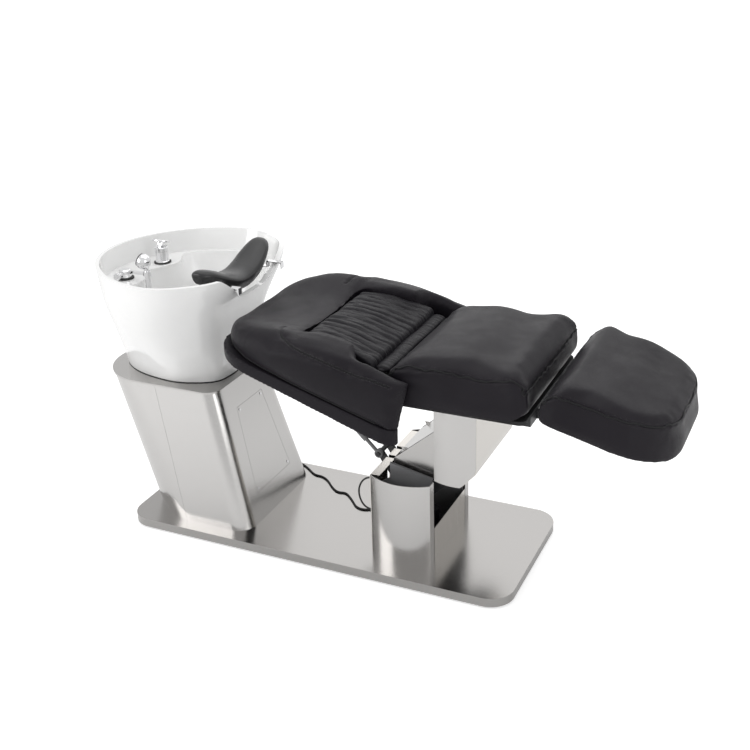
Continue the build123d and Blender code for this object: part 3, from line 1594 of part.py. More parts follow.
def leg_board_sketch(grow):
    """The leg rest's board on its slanted underside, grown by a clearance."""
    with Locations((leg_board_start + leg_board_length / 2, 0)):
        RectangleRounded(
            leg_board_length + 2 * grow, 2 * (leg_board_half + grow), leg_board_corner + grow
        )


with BuildPart() as legrest_cushion:
    loft([
        pad_section(
            leg_rear + leg_reach * u, leg_half * v, leg_low + leg_tall * low,
            leg_low + leg_tall * seam, leg_low + leg_tall * crown, pad_draw * 0.8,
        )
        for u, v, low, seam, crown in leg_station_shares
    ])
    with BuildSketch(leg_under.offset(-3 * cut_over)):
        leg_board_sketch(pad_clear)
    extrude(amount=3 * cut_over + leg_board_thick + pad_clear, mode=Mode.SUBTRACT)
finish(legrest_cushion.part, "legrest_cushion")
print("leg cushion", len(legrest_cushion.solids()), round(legrest_cushion.part.volume))

with BuildPart() as legrest_board:
    with BuildSketch(leg_under):
        leg_board_sketch(0)
    extrude(amount=leg_board_thick)
finish(legrest_board.part, "legrest_board")

leg_bar = 6


def leg_under_at(run):
    """The X and Z place at a run along the leg rest's underside."""
    return (
        leg_hinge[0] + run * math.cos(leg_slope),
        leg_hinge[1] + 28 - run * math.sin(leg_slope),
    )


with BuildPart() as legrest_frame:
    with BuildSketch(leg_under):
        with Locations((leg_board_start + 30, 0), (leg_board_start + 160, 0)):
            Rectangle(seat_tube, 2 * leg_plate_high)
    extrude(amount=-leg_bar)
    near_end = leg_under_at(leg_board_start)
    far_end = leg_under_at(leg_board_start + 200)
    pair_of_slabs(
        [
            near_end, far_end, (far_end[0] - 8, far_end[1] - 14),
            (leg_hinge[0] + 4, leg_hinge[1] - hinge_radius + 1), (leg_hinge[0], leg_hinge[1] + hinge_radius),
        ],
        leg_plate_low,
        leg_plate_high,
    )
    for side in (-1, 1):
        with BuildSketch(Plane.XZ.offset(-side * leg_plate_low)) as knuckle:
            with Locations(leg_hinge):
                Circle(hinge_radius)
        extrude(knuckle.sketch, amount=-side * (leg_plate_high - leg_plate_low))
    cross_rod(leg_hinge, hinge_pin + pivot_clear, leg_plate_high + cut_over, Mode.SUBTRACT)
finish(legrest_frame.part, "legrest_frame")
print("leg frame solids", len(legrest_frame.solids()))

# Backrest: heights of its seam plane and its underside plane, which slope down to the front.
back_head = lift_rear - 478
back_reach = 689
back_low = plate_top + 487
back_tall = 305
seam_slope_share = 0.311
under_slope_share = 0.343
seam_at_zero = plate_top + 631 + seam_slope_share * (lift_rear - 138)
under_at_zero = plate_top + 598 + under_slope_share * (lift_rear - 174)


def seam_z(x):
    """Height of the backrest's lower seam."""
    return seam_at_zero - seam_slope_share * x


def under_z(x):
    """Height of the backrest's underside."""
    return under_at_zero - under_slope_share * x


back_station_shares = [
    (0.0015, 0.3188, 0.8426, 0.8951, 0.8885), (0.0087, 0.4783, 0.8164, 0.9213, 0.9115),
    (0.0334, 0.6435, 0.7954, 0.9443, 0.9213), (0.0769, 0.7884, 0.7648, 0.9574, 0.9016),
    (0.1422, 0.8957, 0.7189, 0.9705, 0.8787), (0.2438, 0.9594, 0.6475, 0.9869, 0.8623),
    (0.4035, 0.9913, 0.5354, 1.0, 0.882), (0.5776, 1.0, 0.413, 0.9803, 0.8951),
    (0.7518, 1.0, 0.2906, 0.9016, 0.7705), (0.8824, 0.9971, 0.1989, 0.7967, 0.6721),
    (0.984, 0.9855, 0.1275, 0.7082, 0.5738), (1.0203, 0.9797, 0.102, 0.6754, 0.541),
]


def back_section(x, half, low, crest, middle):
    """An upright slice across the backrest: high rounded sides and a lower middle."""
    tall = crest - low
    with BuildSketch(Plane.YZ.offset(x)) as across:
        with BuildLine() as edge:
            Line((-half * 0.972, low), (half * 0.972, low))
            right = [
                (half * 0.972, low), (half * 0.995, low + tall * 0.3), (half, low + tall * 0.6),
                (half * 0.98, low + tall * 0.84), (half * 0.93, low + tall * 0.97), (half * 0.85, crest),
                (half * 0.72, crest - (crest - middle) * 0.16), (half * 0.52, crest - (crest - middle) * 0.6),
                (half * 0.3, crest - (crest - middle) * 0.92),
            ]
            Spline(*right, (0, middle), *[(-y, z) for y, z in reversed(right)])
        make_face(edge.edges())
    return across.sketch.faces()[0]


arm_inner = seat_half + 3.3
back_front_low = lift_rear + 151
back_front_lean = (56, 195)
back_front_corner = 52
back_plan_half = back_half + 1
panel_rear = lift_rear - 192
panel_front = lift_rear + 50
panel_rear_half = 195
panel_front_half = 243
arm_step = lift_rear + 15
with BuildPart() as backrest_cushion:
    loft([
        back_section(
            back_head + back_reach * u, back_half * v, back_low + back_tall * low,
            back_low + back_tall * crest, back_low + back_tall * middle,
        )
        for u, v, low, crest, middle in back_station_shares
    ])
    # The leaning fronts of the arms, with rounded outer corners.
    with BuildSketch(Plane.XY.offset(back_low)) as front_plan:
        with Locations(((back_head + back_front_low) / 2 - back_half / 2, 0)):
            Rectangle(back_front_low - back_head + back_half, 2 * back_plan_half)
        fillet(front_plan.vertices().group_by(Axis.X)[-1], radius=back_front_corner)
    extrude(
        amount=back_tall + 4 * cut_over, dir=(back_front_lean[0], 0, back_front_lean[1]),
        mode=Mode.INTERSECT,
    )
    # The well for the lumbar panel and the seat between the arms.
    with BuildSketch(Plane.XY.offset(back_low - cut_over)):
        with BuildLine():
            step_half = panel_rear_half + (panel_front_half - panel_rear_half) * (arm_step - panel_rear) / (
                panel_front - panel_rear
            )
            Polyline(
                (panel_rear, -panel_rear_half), (arm_step, -step_half), (arm_step, -arm_inner),
                (back_front_low + back_half, -arm_inner), (back_front_low + back_half, arm_inner),
                (arm_step, arm_inner), (arm_step, step_half), (panel_rear, panel_rear_half),
                close=True,
            )
        make_face()
    extrude(amount=back_tall + 4 * cut_over, mode=Mode.SUBTRACT)
finish(backrest_cushion.part, "backrest_cushion")
print("back cushion", len(backrest_cushion.solids()), round(backrest_cushion.part.volume),
      backrest_cushion.part.bounding_box())

# Lower band of the backrest, drawn in under the seam, with a board let into its underside.
band_inset = 9
band_head = back_head + 26
band_half = back_half - band_inset
band_head_corner = 112
band_front = back_front_low + 6
board_thick = 12
board_front = lift_rear + 26
board_half = 268
board_corner = 60
board_head = band_head + 34
band_end = board_front + 10 + pad_clear
back_slope = math.atan(under_slope_share)
back_under = Plane(
    origin=(lift_rear, 0, under_z(lift_rear)),
    x_dir=(math.cos(back_slope), 0, -math.sin(back_slope)),
    z_dir=(math.sin(back_slope), 0, math.cos(back_slope)),
)


def back_board_sketch(grow):
    """The backrest's board on its slanted underside, grown by a clearance."""
    start = (board_head - lift_rear) / math.cos(back_slope)
    end = (board_front - lift_rear) / math.cos(back_slope)
    with Locations(((start + end) / 2, 0)):
        RectangleRounded(end - start + 2 * grow, 2 * (board_half + grow), board_corner + grow)


with BuildPart() as backrest_band:
    with BuildSketch(Plane.XZ.offset(band_half + cut_over)):
        with BuildLine():
            Polyline(
                (band_head - cut_over, seam_z(band_head - cut_over) - pad_clear),
                (band_front + back_half, seam_z(band_front + back_half) - pad_clear),
                (band_front + back_half, under_z(band_front + back_half)),
                (band_head - cut_over, under_z(band_head - cut_over)),
                close=True,
            )
        make_face()
    extrude(amount=-2 * (band_half + cut_over))
    with BuildSketch(Plane.XY.offset(back_low - back_half)) as band_plan:
        with Locations(((band_head + band_front) / 2, 0)):
            Rectangle(band_front - band_head, 2 * band_half)
        fillet(band_plan.vertices().group_by(Axis.X)[0], radius=band_head_corner)
        fillet(band_plan.vertices().group_by(Axis.X)[-1], radius=back_front_corner - band_inset)
    extrude(amount=back_tall + 2 * back_half, mode=Mode.INTERSECT)
    with BuildSketch(Plane.XY.offset(back_low - back_half)):
        with Locations((band_end + back_half, 0)):
            Rectangle(2 * back_half, 2 * arm_inner)
    extrude(amount=back_tall + 2 * back_half, mode=Mode.SUBTRACT)
    with BuildSketch(back_under.offset(-cut_over)):
        back_board_sketch(pad_clear)
    extrude(amount=cut_over + board_thick + pad_clear, mode=Mode.SUBTRACT)
finish(backrest_band.part, "backrest_band")
print("back band", len(backrest_band.solids()), round(backrest_band.part.volume))

with BuildPart() as backrest_board:
    with BuildSketch(back_under):
        back_board_sketch(0)
    extrude(amount=board_thick)
finish(backrest_board.part, "backrest_board")

# Backrest frame under the board: cross bars, link brackets with their pin, and hinge brackets.
back_bar = 6
bracket_rear = back_link[0] - 66
bracket_front = back_link[0] + 60
hinge_start = back_hinge[0] - 262
bracket_face = band_end + 0.5
bar_places = [(bracket_rear - lift_rear + 30), (bracket_front - lift_rear - 10), (board_front - lift_rear - 36)]
with BuildPart() as backrest_frame:
    with BuildSketch(back_under):
        with Locations(*[(place / math.cos(back_slope), 0) for place in bar_places]):
            Rectangle(seat_tube, 2 * back_plate_high)
    extrude(amount=-back_bar)
    pair_of_slabs(
        [
            (bracket_rear, under_z(bracket_rear)), (bracket_front, under_z(bracket_front)),
            (back_link[0] + recline_eye, back_link[1]), (back_link[0] - recline_eye, back_link[1]),
        ],
        lever_low,
        lever_high,
    )
    cross_rod(back_link, recline_eye, lever_high)
    cross_rod(back_link, crank_pin, rod_high + pin_head)
    pair_of_slabs(
        [
            (hinge_start, under_z(hinge_start)), (bracket_face, under_z(bracket_face)),
            (bracket_face, back_hinge[1] - 60), (back_hinge[0] - hinge_radius, back_hinge[1]),
            (back_hinge[0] + hinge_radius, back_hinge[1]), (back_hinge[0] + 6, back_hinge[1] - 128),
            (back_hinge[0] - 12, back_hinge[1] - 148), (hinge_start, under_z(hinge_start) - 24),
        ],
        back_plate_low,
        back_plate_high,
    )
    for side in (-1, 1):
        with BuildSketch(Plane.XZ.offset(-side * back_plate_low)) as knuckle:
            with Locations(back_hinge):
                Circle(hinge_radius)
        extrude(knuckle.sketch, amount=-side * (back_plate_high - back_plate_low))
    cross_rod(back_hinge, hinge_pin + pivot_clear, back_plate_high + cut_over, Mode.SUBTRACT)
finish(backrest_frame.part, "backrest_frame")
print("back frame solids", len(backrest_frame.solids()))

# Lumbar panel: a thick pad in the well with ruched channels that run along the bed.
lumbar_folds = 14
lumbar_gap = 0.8
fold_rise = 5
lumbar_rear = panel_rear + lumbar_gap
lumbar_nose = lift_rear + 56
lumbar_rear_top = plate_top + 776
lumbar_slope_share = 0.25
# Length share, drop of the top as a share of the nose height, underside rise share.
lumbar_station_shares = [
    (0, 0.16, 0), (0.06, 0.03, 0), (0.5, -0.03, 0), (0.9, 0, 0), (0.915, 0, 0.62), (0.975, 0.02, 0.69),
    (1, 0.1, 0.8),
]
lumbar_nose_tall = 150


def lumbar_section(share, drop, rise):
    """An upright slice across the lumbar panel with a scalloped top."""
    x = lumbar_rear + (lumbar_nose - lumbar_rear) * share
    spread = (min(x, panel_front) - panel_rear) / (panel_front - panel_rear)
    half = panel_rear_half + (panel_front_half - panel_rear_half) * spread - 2 * lumbar_gap
    low = seam_z(x) + pad_clear + lumbar_nose_tall * rise
    top = lumbar_rear_top - lumbar_slope_share * (x - lumbar_rear) - lumbar_nose_tall * drop
    pitch = 2 * half / lumbar_folds
    with BuildSketch(Plane.YZ.offset(x)) as across:
        with BuildLine() as edge:
            Line((-half, low), (half, low))
            Line((half, low), (half, top))
            for fold in range(lumbar_folds):
                y = half - pitch * fold
                ThreePointArc((y, top), (y - pitch / 2, top + fold_rise), (y - pitch, top))
            Line((-half, top), (-half, low))
        make_face(edge.edges())
    return across.sketch.faces()[0]


with BuildPart() as lumbar_cushion:
    loft([lumbar_section(*row) for row in lumbar_station_shares], ruled=True)
finish(lumbar_cushion.part, "lumbar_cushion")
print("lumbar", len(lumbar_cushion.solids()), round(lumbar_cushion.part.volume),
      lumbar_cushion.part.bounding_box())

# Cables: a link cable over the base plate and a loop at the rear of the lift's housing.
link_route = [
    (-350, 237.5, 58), (-350, 260, 58), (-326, 272, 43), (-292, 268, 41.4), (-257, 245, 41.3),
    (-216, 212, 41.3), (-185, 213, 41.3), (-151, 194, 41.3), (-113, 153, 41.3), (-79, 128, 41.3),
    (-50, 136, 41.3), (-26, 118, 41.3), (2, 90, 41.3), (28, 60, 41.3), (60, 52, 41.3), (88, 68, 41.3),
    (124, 72, 41.3), (162, 64, 50), (197.5, 64, 50),
]
loop_route = [
    (197.5, -110, 280), (168, -110, 280), (142, -112, 262), (128, -113, 228), (131, -112, 192),
    (146, -110, 164), (172, -110, 156), (197.5, -110, 156),
]


def bend_radii(points):
    """The largest even bend at each corner: 0.45 of the shorter run over the tangent of half the turn."""
    radii = []
    for before, corner, after in zip(points, points[1:], points[2:]):
        run_in = Vector(*corner) - Vector(*before)
        run_out = Vector(*after) - Vector(*corner)
        turn = math.radians(run_in.get_angle(run_out))
        radii.append(0.45 * min(run_in.length, run_out.length) / math.tan(turn / 2))
    return radii


for cable_points, name in ((link_route, "link_cable"), (loop_route, "loop_cable")):
    cable_bends = bend_radii(cable_points)
    with BuildPart() as cable:
        with BuildLine() as cable_path:
            FilletPolyline(*cable_points, radius=cable_bends)
        with BuildSketch(Plane(origin=cable_path.line @ 0, z_dir=cable_path.line % 0)):
            Circle(cable_radius)
        sweep(path=cable_path.line)
    finish(cable.part, name)
    print(name, "radii", [round(value) for value in cable_bends], "length", round(cable_path.wires()[0].length),
          "volume share", round(cable.part.volume / (math.pi * cable_radius**2 * cable_path.wires()[0].length), 4))

with BuildPart() as cable_grommets:
    with BuildSketch(Plane.XZ.offset(-column_foot_half + grommet_lip + grommet_depth)) as column_plug:
        with Locations((column_exit_x, cable_exit_z)):
            Circle(grommet_hole - grommet_fit)
    extrude(column_plug.sketch, amount=-(grommet_depth + grommet_lip))
    with BuildSketch(Plane.XZ.offset(-column_foot_half)) as column_rim:
        with Locations((column_exit_x, cable_exit_z)):
            Circle(grommet_flange)
    extrude(column_rim.sketch, amount=-grommet_lip)
    with BuildSketch(Plane.YZ.offset(lift_rear - grommet_lip)) as panel_rims:
        with Locations(panel_exit, *loop_exits):
            Circle(grommet_flange)
    extrude(panel_rims.sketch, amount=grommet_lip)
    with BuildSketch(Plane.YZ.offset(lift_rear)) as panel_plugs:
        with Locations(panel_exit, *loop_exits):
            Circle(grommet_hole - grommet_fit)
    extrude(panel_plugs.sketch, amount=grommet_depth)
finish(cable_grommets.part, "cable_grommets")
print("grommets", len(cable_grommets.solids()))
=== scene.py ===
import math

import bmesh
import bpy
import numpy as np
from mathutils import Matrix, Vector, kdtree, noise
from mathutils.bvhtree import BVHTree


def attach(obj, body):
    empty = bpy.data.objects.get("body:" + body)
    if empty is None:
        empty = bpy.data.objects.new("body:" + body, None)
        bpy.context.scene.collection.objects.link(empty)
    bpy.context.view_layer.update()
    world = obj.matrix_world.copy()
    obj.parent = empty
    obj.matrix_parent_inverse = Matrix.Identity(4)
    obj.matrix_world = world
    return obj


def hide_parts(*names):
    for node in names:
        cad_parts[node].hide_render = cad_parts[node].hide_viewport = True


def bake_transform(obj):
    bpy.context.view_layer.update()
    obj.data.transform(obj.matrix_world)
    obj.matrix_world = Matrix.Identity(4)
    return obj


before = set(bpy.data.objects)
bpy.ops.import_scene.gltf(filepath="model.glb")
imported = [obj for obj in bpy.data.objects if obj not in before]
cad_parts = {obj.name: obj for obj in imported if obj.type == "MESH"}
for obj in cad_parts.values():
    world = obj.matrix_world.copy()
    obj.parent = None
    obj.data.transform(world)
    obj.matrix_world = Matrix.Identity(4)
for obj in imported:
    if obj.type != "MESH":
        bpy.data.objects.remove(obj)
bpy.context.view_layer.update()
scene = bpy.context.scene


def unit(v):
    return v / np.linalg.norm(v)


# Camera: the place fitted to the photograph's straight edges, in metres and degrees of the model's own frame.
camera_place = (1.589976, -3.0148, 2.084737)
azimuth, elevation, roll = (math.radians(angle) for angle in (25.559, 24.039, -1.914))
back = np.array([
    math.sin(azimuth) * math.cos(elevation), -math.cos(azimuth) * math.cos(elevation), math.sin(elevation),
])
right = unit(np.cross([0, 0, 1], back))
up = np.cross(back, right)
side_axis = right * math.cos(roll) + up * math.sin(roll)
up_axis = -right * math.sin(roll) + up * math.cos(roll)
camera_data = bpy.data.cameras.new("camera")
camera_data.lens = 54.215
camera_data.sensor_width = 36
camera = bpy.data.objects.new("camera", camera_data)
scene.collection.objects.link(camera)
camera.matrix_world = Matrix([*zip(side_axis, up_axis, back, camera_place), (0, 0, 0, 1)])
scene.camera = camera


# Materials.
def node_material(name):
    mat = bpy.data.materials.new(name)
    mat.use_nodes = True
    return mat, mat.node_tree.nodes, mat.node_tree.links, mat.node_tree.nodes["Principled BSDF"]


def texture(nodes, links, kind, scale, stretch=(1, 1, 1), **settings):
    """A texture node in object space, with its own scale along each axis."""
    place = nodes.new("ShaderNodeTexCoord")
    mapping = nodes.new("ShaderNodeMapping")
    mapping.inputs["Scale"].default_value = stretch
    tex = nodes.new(kind)
    tex.inputs["Scale"].default_value = scale
    links.new(place.outputs["Object"], mapping.inputs["Vector"])
    links.new(mapping.outputs["Vector"], tex.inputs["Vector"])
    for key, value in settings.items():
        if key in tex.inputs:
            tex.inputs[key].default_value = value
        else:
            setattr(tex, key, value)
    return tex


def remap(nodes, links, source, low, high, start=0.3, stop=0.7):
    """A value range from a texture's output."""
    node = nodes.new("ShaderNodeMapRange")
    for key, value in (("From Min", start), ("From Max", stop), ("To Min", low), ("To Max", high)):
        node.inputs[key].default_value = value
    links.new(source, node.inputs["Value"])
    return node.outputs["Result"]


def tint(nodes, links, source, first, second):
    """A mix of two colours driven by a 0 to 1 value."""
    node = nodes.new("ShaderNodeMix")
    node.data_type = "RGBA"
    node.inputs["A"].default_value = (*first, 1)
    node.inputs["B"].default_value = (*second, 1)
    links.new(source, node.inputs["Factor"])
    return node.outputs["Result"]


def calculated(nodes, links, operation, first, second):
    """A math node's result; each value is another node's output or a number."""
    node = nodes.new("ShaderNodeMath")
    node.operation = operation
    for place, value in zip(node.inputs, (first, second)):
        if isinstance(value, float):
            place.default_value = value
        else:
            links.new(value, place)
    return node.outputs[0]


def bumped(nodes, links, bsdf, heights, distance, strength):
    """Bump from one or more height outputs added up."""
    total = heights[0]
    for extra in heights[1:]:
        total = calculated(nodes, links, "ADD", total, extra)
    bump = nodes.new("ShaderNodeBump")
    bump.inputs["Distance"].default_value = distance
    bump.inputs["Strength"].default_value = strength
    links.new(total, bump.inputs["Height"])
    links.new(bump.outputs["Normal"], bsdf.inputs["Normal"])


def leather(name, first, second, rough, grain=420, wrinkle=(9, 9, 9), wrinkle_height=0.3):
    """Leather: patches of two colours, a worn gloss, a fine grain and soft wrinkles."""
    mat, nodes, links, bsdf = node_material(name)
    patches = texture(nodes, links, "ShaderNodeTexNoise", 5, Detail=3)
    colour = tint(nodes, links, remap(nodes, links, patches.outputs[0], 0, 1), first, second)
    links.new(colour, bsdf.inputs["Base Color"])
    wear = texture(nodes, links, "ShaderNodeTexNoise", 16, Detail=5)
    links.new(remap(nodes, links, wear.outputs[0], rough - 0.05, rough + 0.07), bsdf.inputs["Roughness"])
    cells = texture(nodes, links, "ShaderNodeTexVoronoi", grain, feature="DISTANCE_TO_EDGE")
    fine = remap(nodes, links, cells.outputs["Distance"], 0, 0.55, 0, 0.35)
    folds = texture(nodes, links, "ShaderNodeTexNoise", 1, stretch=wrinkle, Detail=4, Roughness=0.55)
    soft = remap(nodes, links, folds.outputs[0], 0, wrinkle_height * 3.2, 0.25, 0.75)
    bumped(nodes, links, bsdf, [fine, soft], 0.0009, 0.55)
    bsdf.inputs["Specular IOR Level"].default_value = 0.15
    bsdf.inputs["Sheen Weight"].default_value = 0.03
    bsdf.inputs["Sheen Roughness"].default_value = 0.4
    return mat


def brushed(name, colour, rough, stretch, streak=0.025):
    """Brushed steel: fine streaks, long where stretch is small."""
    mat, nodes, links, bsdf = node_material(name)
    grain = texture(nodes, links, "ShaderNodeTexNoise", 1, stretch=stretch, Detail=4, Roughness=0.7)
    dark = tuple(c * (1 - streak) for c in colour)
    light = tuple(min(1, c * (1 + streak)) for c in colour)
    shade = tint(nodes, links, remap(nodes, links, grain.outputs[0], 0, 1), dark, light)
    links.new(shade, bsdf.inputs["Base Color"])
    links.new(remap(nodes, links, grain.outputs[0], rough - 0.03, rough + 0.04), bsdf.inputs["Roughness"])
    bumped(nodes, links, bsdf, [grain.outputs[0]], 0.00005, 0.14)
    bsdf.inputs["Metallic"].default_value = 1.0
    return mat


def speckled(name, colour, rough, scale, height, metal=0.0, vary=0.06, coat=0.0):
    """Paint, plastic, rubber or glaze: slight colour drift, a worn gloss and a fine surface."""
    mat, nodes, links, bsdf = node_material(name)
    drift = texture(nodes, links, "ShaderNodeTexNoise", 14, Detail=4)
    low = tuple(c * (1 - vary) for c in colour)
    high = tuple(min(1, c * (1 + vary)) for c in colour)
    shade = tint(nodes, links, remap(nodes, links, drift.outputs[0], 0, 1), low, high)
    links.new(shade, bsdf.inputs["Base Color"])
    links.new(remap(nodes, links, drift.outputs[0], rough * 0.8, rough * 1.2), bsdf.inputs["Roughness"])
    fine = texture(nodes, links, "ShaderNodeTexNoise", scale, Detail=2)
    bumped(nodes, links, bsdf, [fine.outputs[0]], height, 0.6)
    bsdf.inputs["Metallic"].default_value = metal
    bsdf.inputs["Coat Weight"].default_value = coat
    bsdf.inputs["Coat Roughness"].default_value = 0.06
    return mat


def ribbed_plastic(name, colour, rough, pitch):
    """A hose with fine rings along Z, with painted shade in the grooves between them."""
    mat, nodes, links, bsdf = node_material(name)
    rings = texture(nodes, links, "ShaderNodeTexWave", pitch, bands_direction="Z")
    # Where the rings' bump is low, the colour drops to 0.7 of itself: painted shade in the grooves.
    shade = tint(nodes, links, rings.outputs["Fac"], tuple(c * 0.7 for c in colour), colour)
    links.new(shade, bsdf.inputs["Base Color"])
    bsdf.inputs["Roughness"].default_value = rough
    bumped(nodes, links, bsdf, [rings.outputs["Fac"]], 0.0012, 0.8)
    return mat


dark_leather = leather("upholstery", (0.0094, 0.0078, 0.0108), (0.0132, 0.0112, 0.0148), 0.37)
ruched_leather = leather(
    "upholstery_ruched", (0.0085, 0.0076, 0.0100), (0.012, 0.0108, 0.0138), 0.33,
    wrinkle=(14, 70, 20), wrinkle_height=1.2,
)
materials = {
    "inner": brushed("inner_steel", (0.66, 0.635, 0.60), 0.24, (1300, 1300, 4)),
    "plate": brushed("plate_steel", (0.41, 0.40, 0.39), 0.20, (5, 1400, 1400)),
    "upright": brushed("shell_steel", (0.56, 0.55, 0.54), 0.19, (1300, 1300, 4)),
    "flat_top": brushed("top_steel", (0.50, 0.49, 0.48), 0.20, (5, 1200, 1200)),
    "pins": brushed("pin_steel", (0.50, 0.50, 0.51), 0.25, (300, 300, 300), streak=0.03),
    "hose_steel": ribbed_plastic("hose_metal", (0.62, 0.62, 0.63), 0.28, 120),
    "chrome": speckled("chrome", (0.78, 0.78, 0.79), 0.07, metal=1.0, scale=300, height=0.00001, vary=0.01),
    "screws": speckled("screws", (0.74, 0.74, 0.75), 0.12, metal=1.0, scale=500, height=0.00002, vary=0.02),
    "frame": speckled("frame_steel", (0.022, 0.022, 0.024), 0.42, scale=700, height=0.0001),
    "grey": speckled("grey_steel", (0.17, 0.17, 0.175), 0.38, metal=0.2, scale=700, height=0.0001),
    "glaze": speckled("glaze", (0.91, 0.91, 0.905), 0.09, scale=60, height=0.00008, vary=0.008, coat=0.6),
    "rubber": speckled("black_rubber", (0.018, 0.018, 0.018), 0.62, scale=1200, height=0.0001),
    "gel": speckled("gel", (0.012, 0.012, 0.013), 0.34, scale=500, height=0.00012),
    "board": speckled("board_cover", (0.012, 0.012, 0.013), 0.8, scale=2200, height=0.0003),
    "box": speckled("box_plastic", (0.03, 0.03, 0.032), 0.5, scale=1500, height=0.0001),
    "white": speckled("white_plastic", (0.74, 0.74, 0.73), 0.3, scale=500, height=0.00005, vary=0.02),
    "white_ribbed": ribbed_plastic("white_hose", (0.74, 0.74, 0.73), 0.35, 60),
    "nozzle": speckled("nozzle", (0.07, 0.07, 0.075), 0.45, scale=900, height=0.0001),
    "thread": speckled("thread", (0.035, 0.034, 0.036), 0.55, scale=3000, height=0.0002),
    "piping": leather("piping", (0.011, 0.011, 0.012), (0.014, 0.014, 0.015), 0.38, grain=700),
}
finishes = {
    "plate": ["base_plate"],
    "upright": [
        "column_rear_shell", "column_front_shell", "access_panel", "lift_near_shell", "lift_far_shell",
        "upper_near_shell", "upper_far_shell",
    ],
    "inner": ["lift_end_panel", "lift_rear_panel", "upper_front_panel"],
    "flat_top": ["column_top_plate", "arm_cover", "arm_cover_sides"],
    "pins": ["lower_pivot_pins", "upper_pivot_pins", "lift_actuator_rod", "hinge_pins"],
    "hose_steel": ["supply_hoses", "shower_hose"],
    "chrome": [
        "drain_flange", "hair_strainer", "mixer_body", "mixer_cap", "mixer_lever", "shower_holder",
        "hand_shower", "hose_guide", "neck_rest_brackets",
    ],
    "screws": ["panel_screws"],
    "frame": [
        "base_frame", "column_frame", "lift_arms", "lift_links", "lift_actuator_body", "carriage_frame",
        "seat_frame", "legrest_frame", "backrest_frame",
    ],
    "grey": ["lift_base_bracket", "recline_links"],
    "glaze": ["basin"],
    "rubber": ["levelling_feet", "basin_gaskets", "cable_grommets"],
    "board": ["seat_board", "legrest_board", "backrest_board"],
    "box": ["control_box"],
    "white": ["drain_trap"],
    "white_ribbed": ["drain_hose"],
    "nozzle": ["spray_face"],
}


def paint(obj, mat):
    """Gives every slot of an object one material, linked to the object itself."""
    if not obj.data.materials:
        obj.data.materials.append(None)
    for place in obj.material_slots:
        place.link = "OBJECT"
        place.material = mat


for key, names in finishes.items():
    for name in names:
        paint(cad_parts[name], materials[key])


# Cords: the two cables, on the route of their solids.
def cord_curve(name, points, radius):
    """A round cord along a smooth curve near the given points."""
    curve = bpy.data.curves.new(name, "CURVE")
    curve.dimensions = "3D"
    spline = curve.splines.new("NURBS")
    spline.points.add(len(points) - 1)
    for point, place in zip(spline.points, points):
        point.co = (*place, 1)
    spline.order_u = 3
    spline.use_endpoint_u = True
    spline.resolution_u = 16
    curve.bevel_depth = radius
    curve.bevel_resolution = 6
    curve.use_fill_caps = True
    obj = bpy.data.objects.new(name, curve)
    scene.collection.objects.link(obj)
    curve.materials.append(materials["rubber"])
    return obj


link_route = [
    (-0.350, 0.2375, 0.058), (-0.350, 0.260, 0.058), (-0.326, 0.272, 0.043), (-0.292, 0.268, 0.0414),
    (-0.257, 0.245, 0.0413), (-0.216, 0.212, 0.0413), (-0.185, 0.213, 0.0413), (-0.151, 0.194, 0.0413),
    (-0.113, 0.153, 0.0413), (-0.079, 0.128, 0.0413), (-0.050, 0.136, 0.0413), (-0.026, 0.118, 0.0413),
    (0.002, 0.090, 0.0413), (0.028, 0.060, 0.0413), (0.060, 0.052, 0.0413), (0.088, 0.068, 0.0413),
    (0.124, 0.072, 0.0413), (0.162, 0.064, 0.050), (0.1975, 0.064, 0.050),
]
loop_route = [
    (0.1975, -0.110, 0.280), (0.168, -0.110, 0.280), (0.142, -0.112, 0.262), (0.128, -0.113, 0.228),
    (0.131, -0.112, 0.192), (0.146, -0.110, 0.164), (0.172, -0.110, 0.156), (0.1975, -0.110, 0.156),
]
cable_radius = 0.003
for name, node, route, length in (
    ("cable_between", "link_cable", link_route, 0.653), ("cable_loop", "loop_cable", loop_route, 0.215),
):
    cable = cord_curve(name, route, cable_radius)
    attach(cable, "base")
    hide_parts(node)


# Soft pieces: each starts from its solid's shape. The three large cushions are filled by a cloth simulation
# and then sewn.
def evaluated_mesh(obj):
    """A new mesh with obj's modifiers applied."""
    graph = bpy.context.evaluated_depsgraph_get()
    return bpy.data.meshes.new_from_object(obj.evaluated_get(graph))


def as_mesh(obj, name):
    """A new object that holds obj's evaluated mesh."""
    mesh = evaluated_mesh(obj)
    mesh.name = name
    new = bpy.data.objects.new(name, mesh)
    scene.collection.objects.link(new)
    return new


def coordinates(mesh):
    co = np.empty(len(mesh.vertices) * 3)
    mesh.vertices.foreach_get("co", co)
    return co.reshape(-1, 3)


def normals_of(mesh):
    co = np.empty(len(mesh.vertices) * 3)
    mesh.vertex_normals.foreach_get("vector", co)
    return co.reshape(-1, 3)


def set_coordinates(mesh, co):
    mesh.vertices.foreach_set("co", co.reshape(-1))
    mesh.update()


def remeshed(node, name, voxel):
    """The solid's shape as an even, closed mesh."""
    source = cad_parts[node]
    rough = bpy.data.objects.new(name + "_start", source.data.copy())
    scene.collection.objects.link(rough)
    builder = bmesh.new()
    builder.from_mesh(rough.data)
    bmesh.ops.remove_doubles(builder, verts=builder.verts, dist=2e-5)
    builder.to_mesh(rough.data)
    builder.free()
    change = rough.modifiers.new("voxels", "REMESH")
    change.mode = "VOXEL"
    change.voxel_size = voxel
    smooth = rough.modifiers.new("relax", "SMOOTH")
    smooth.factor = 0.5
    smooth.iterations = 4
    new = as_mesh(rough, name)
    bpy.data.objects.remove(rough)
    new.data.materials.clear()
    return new


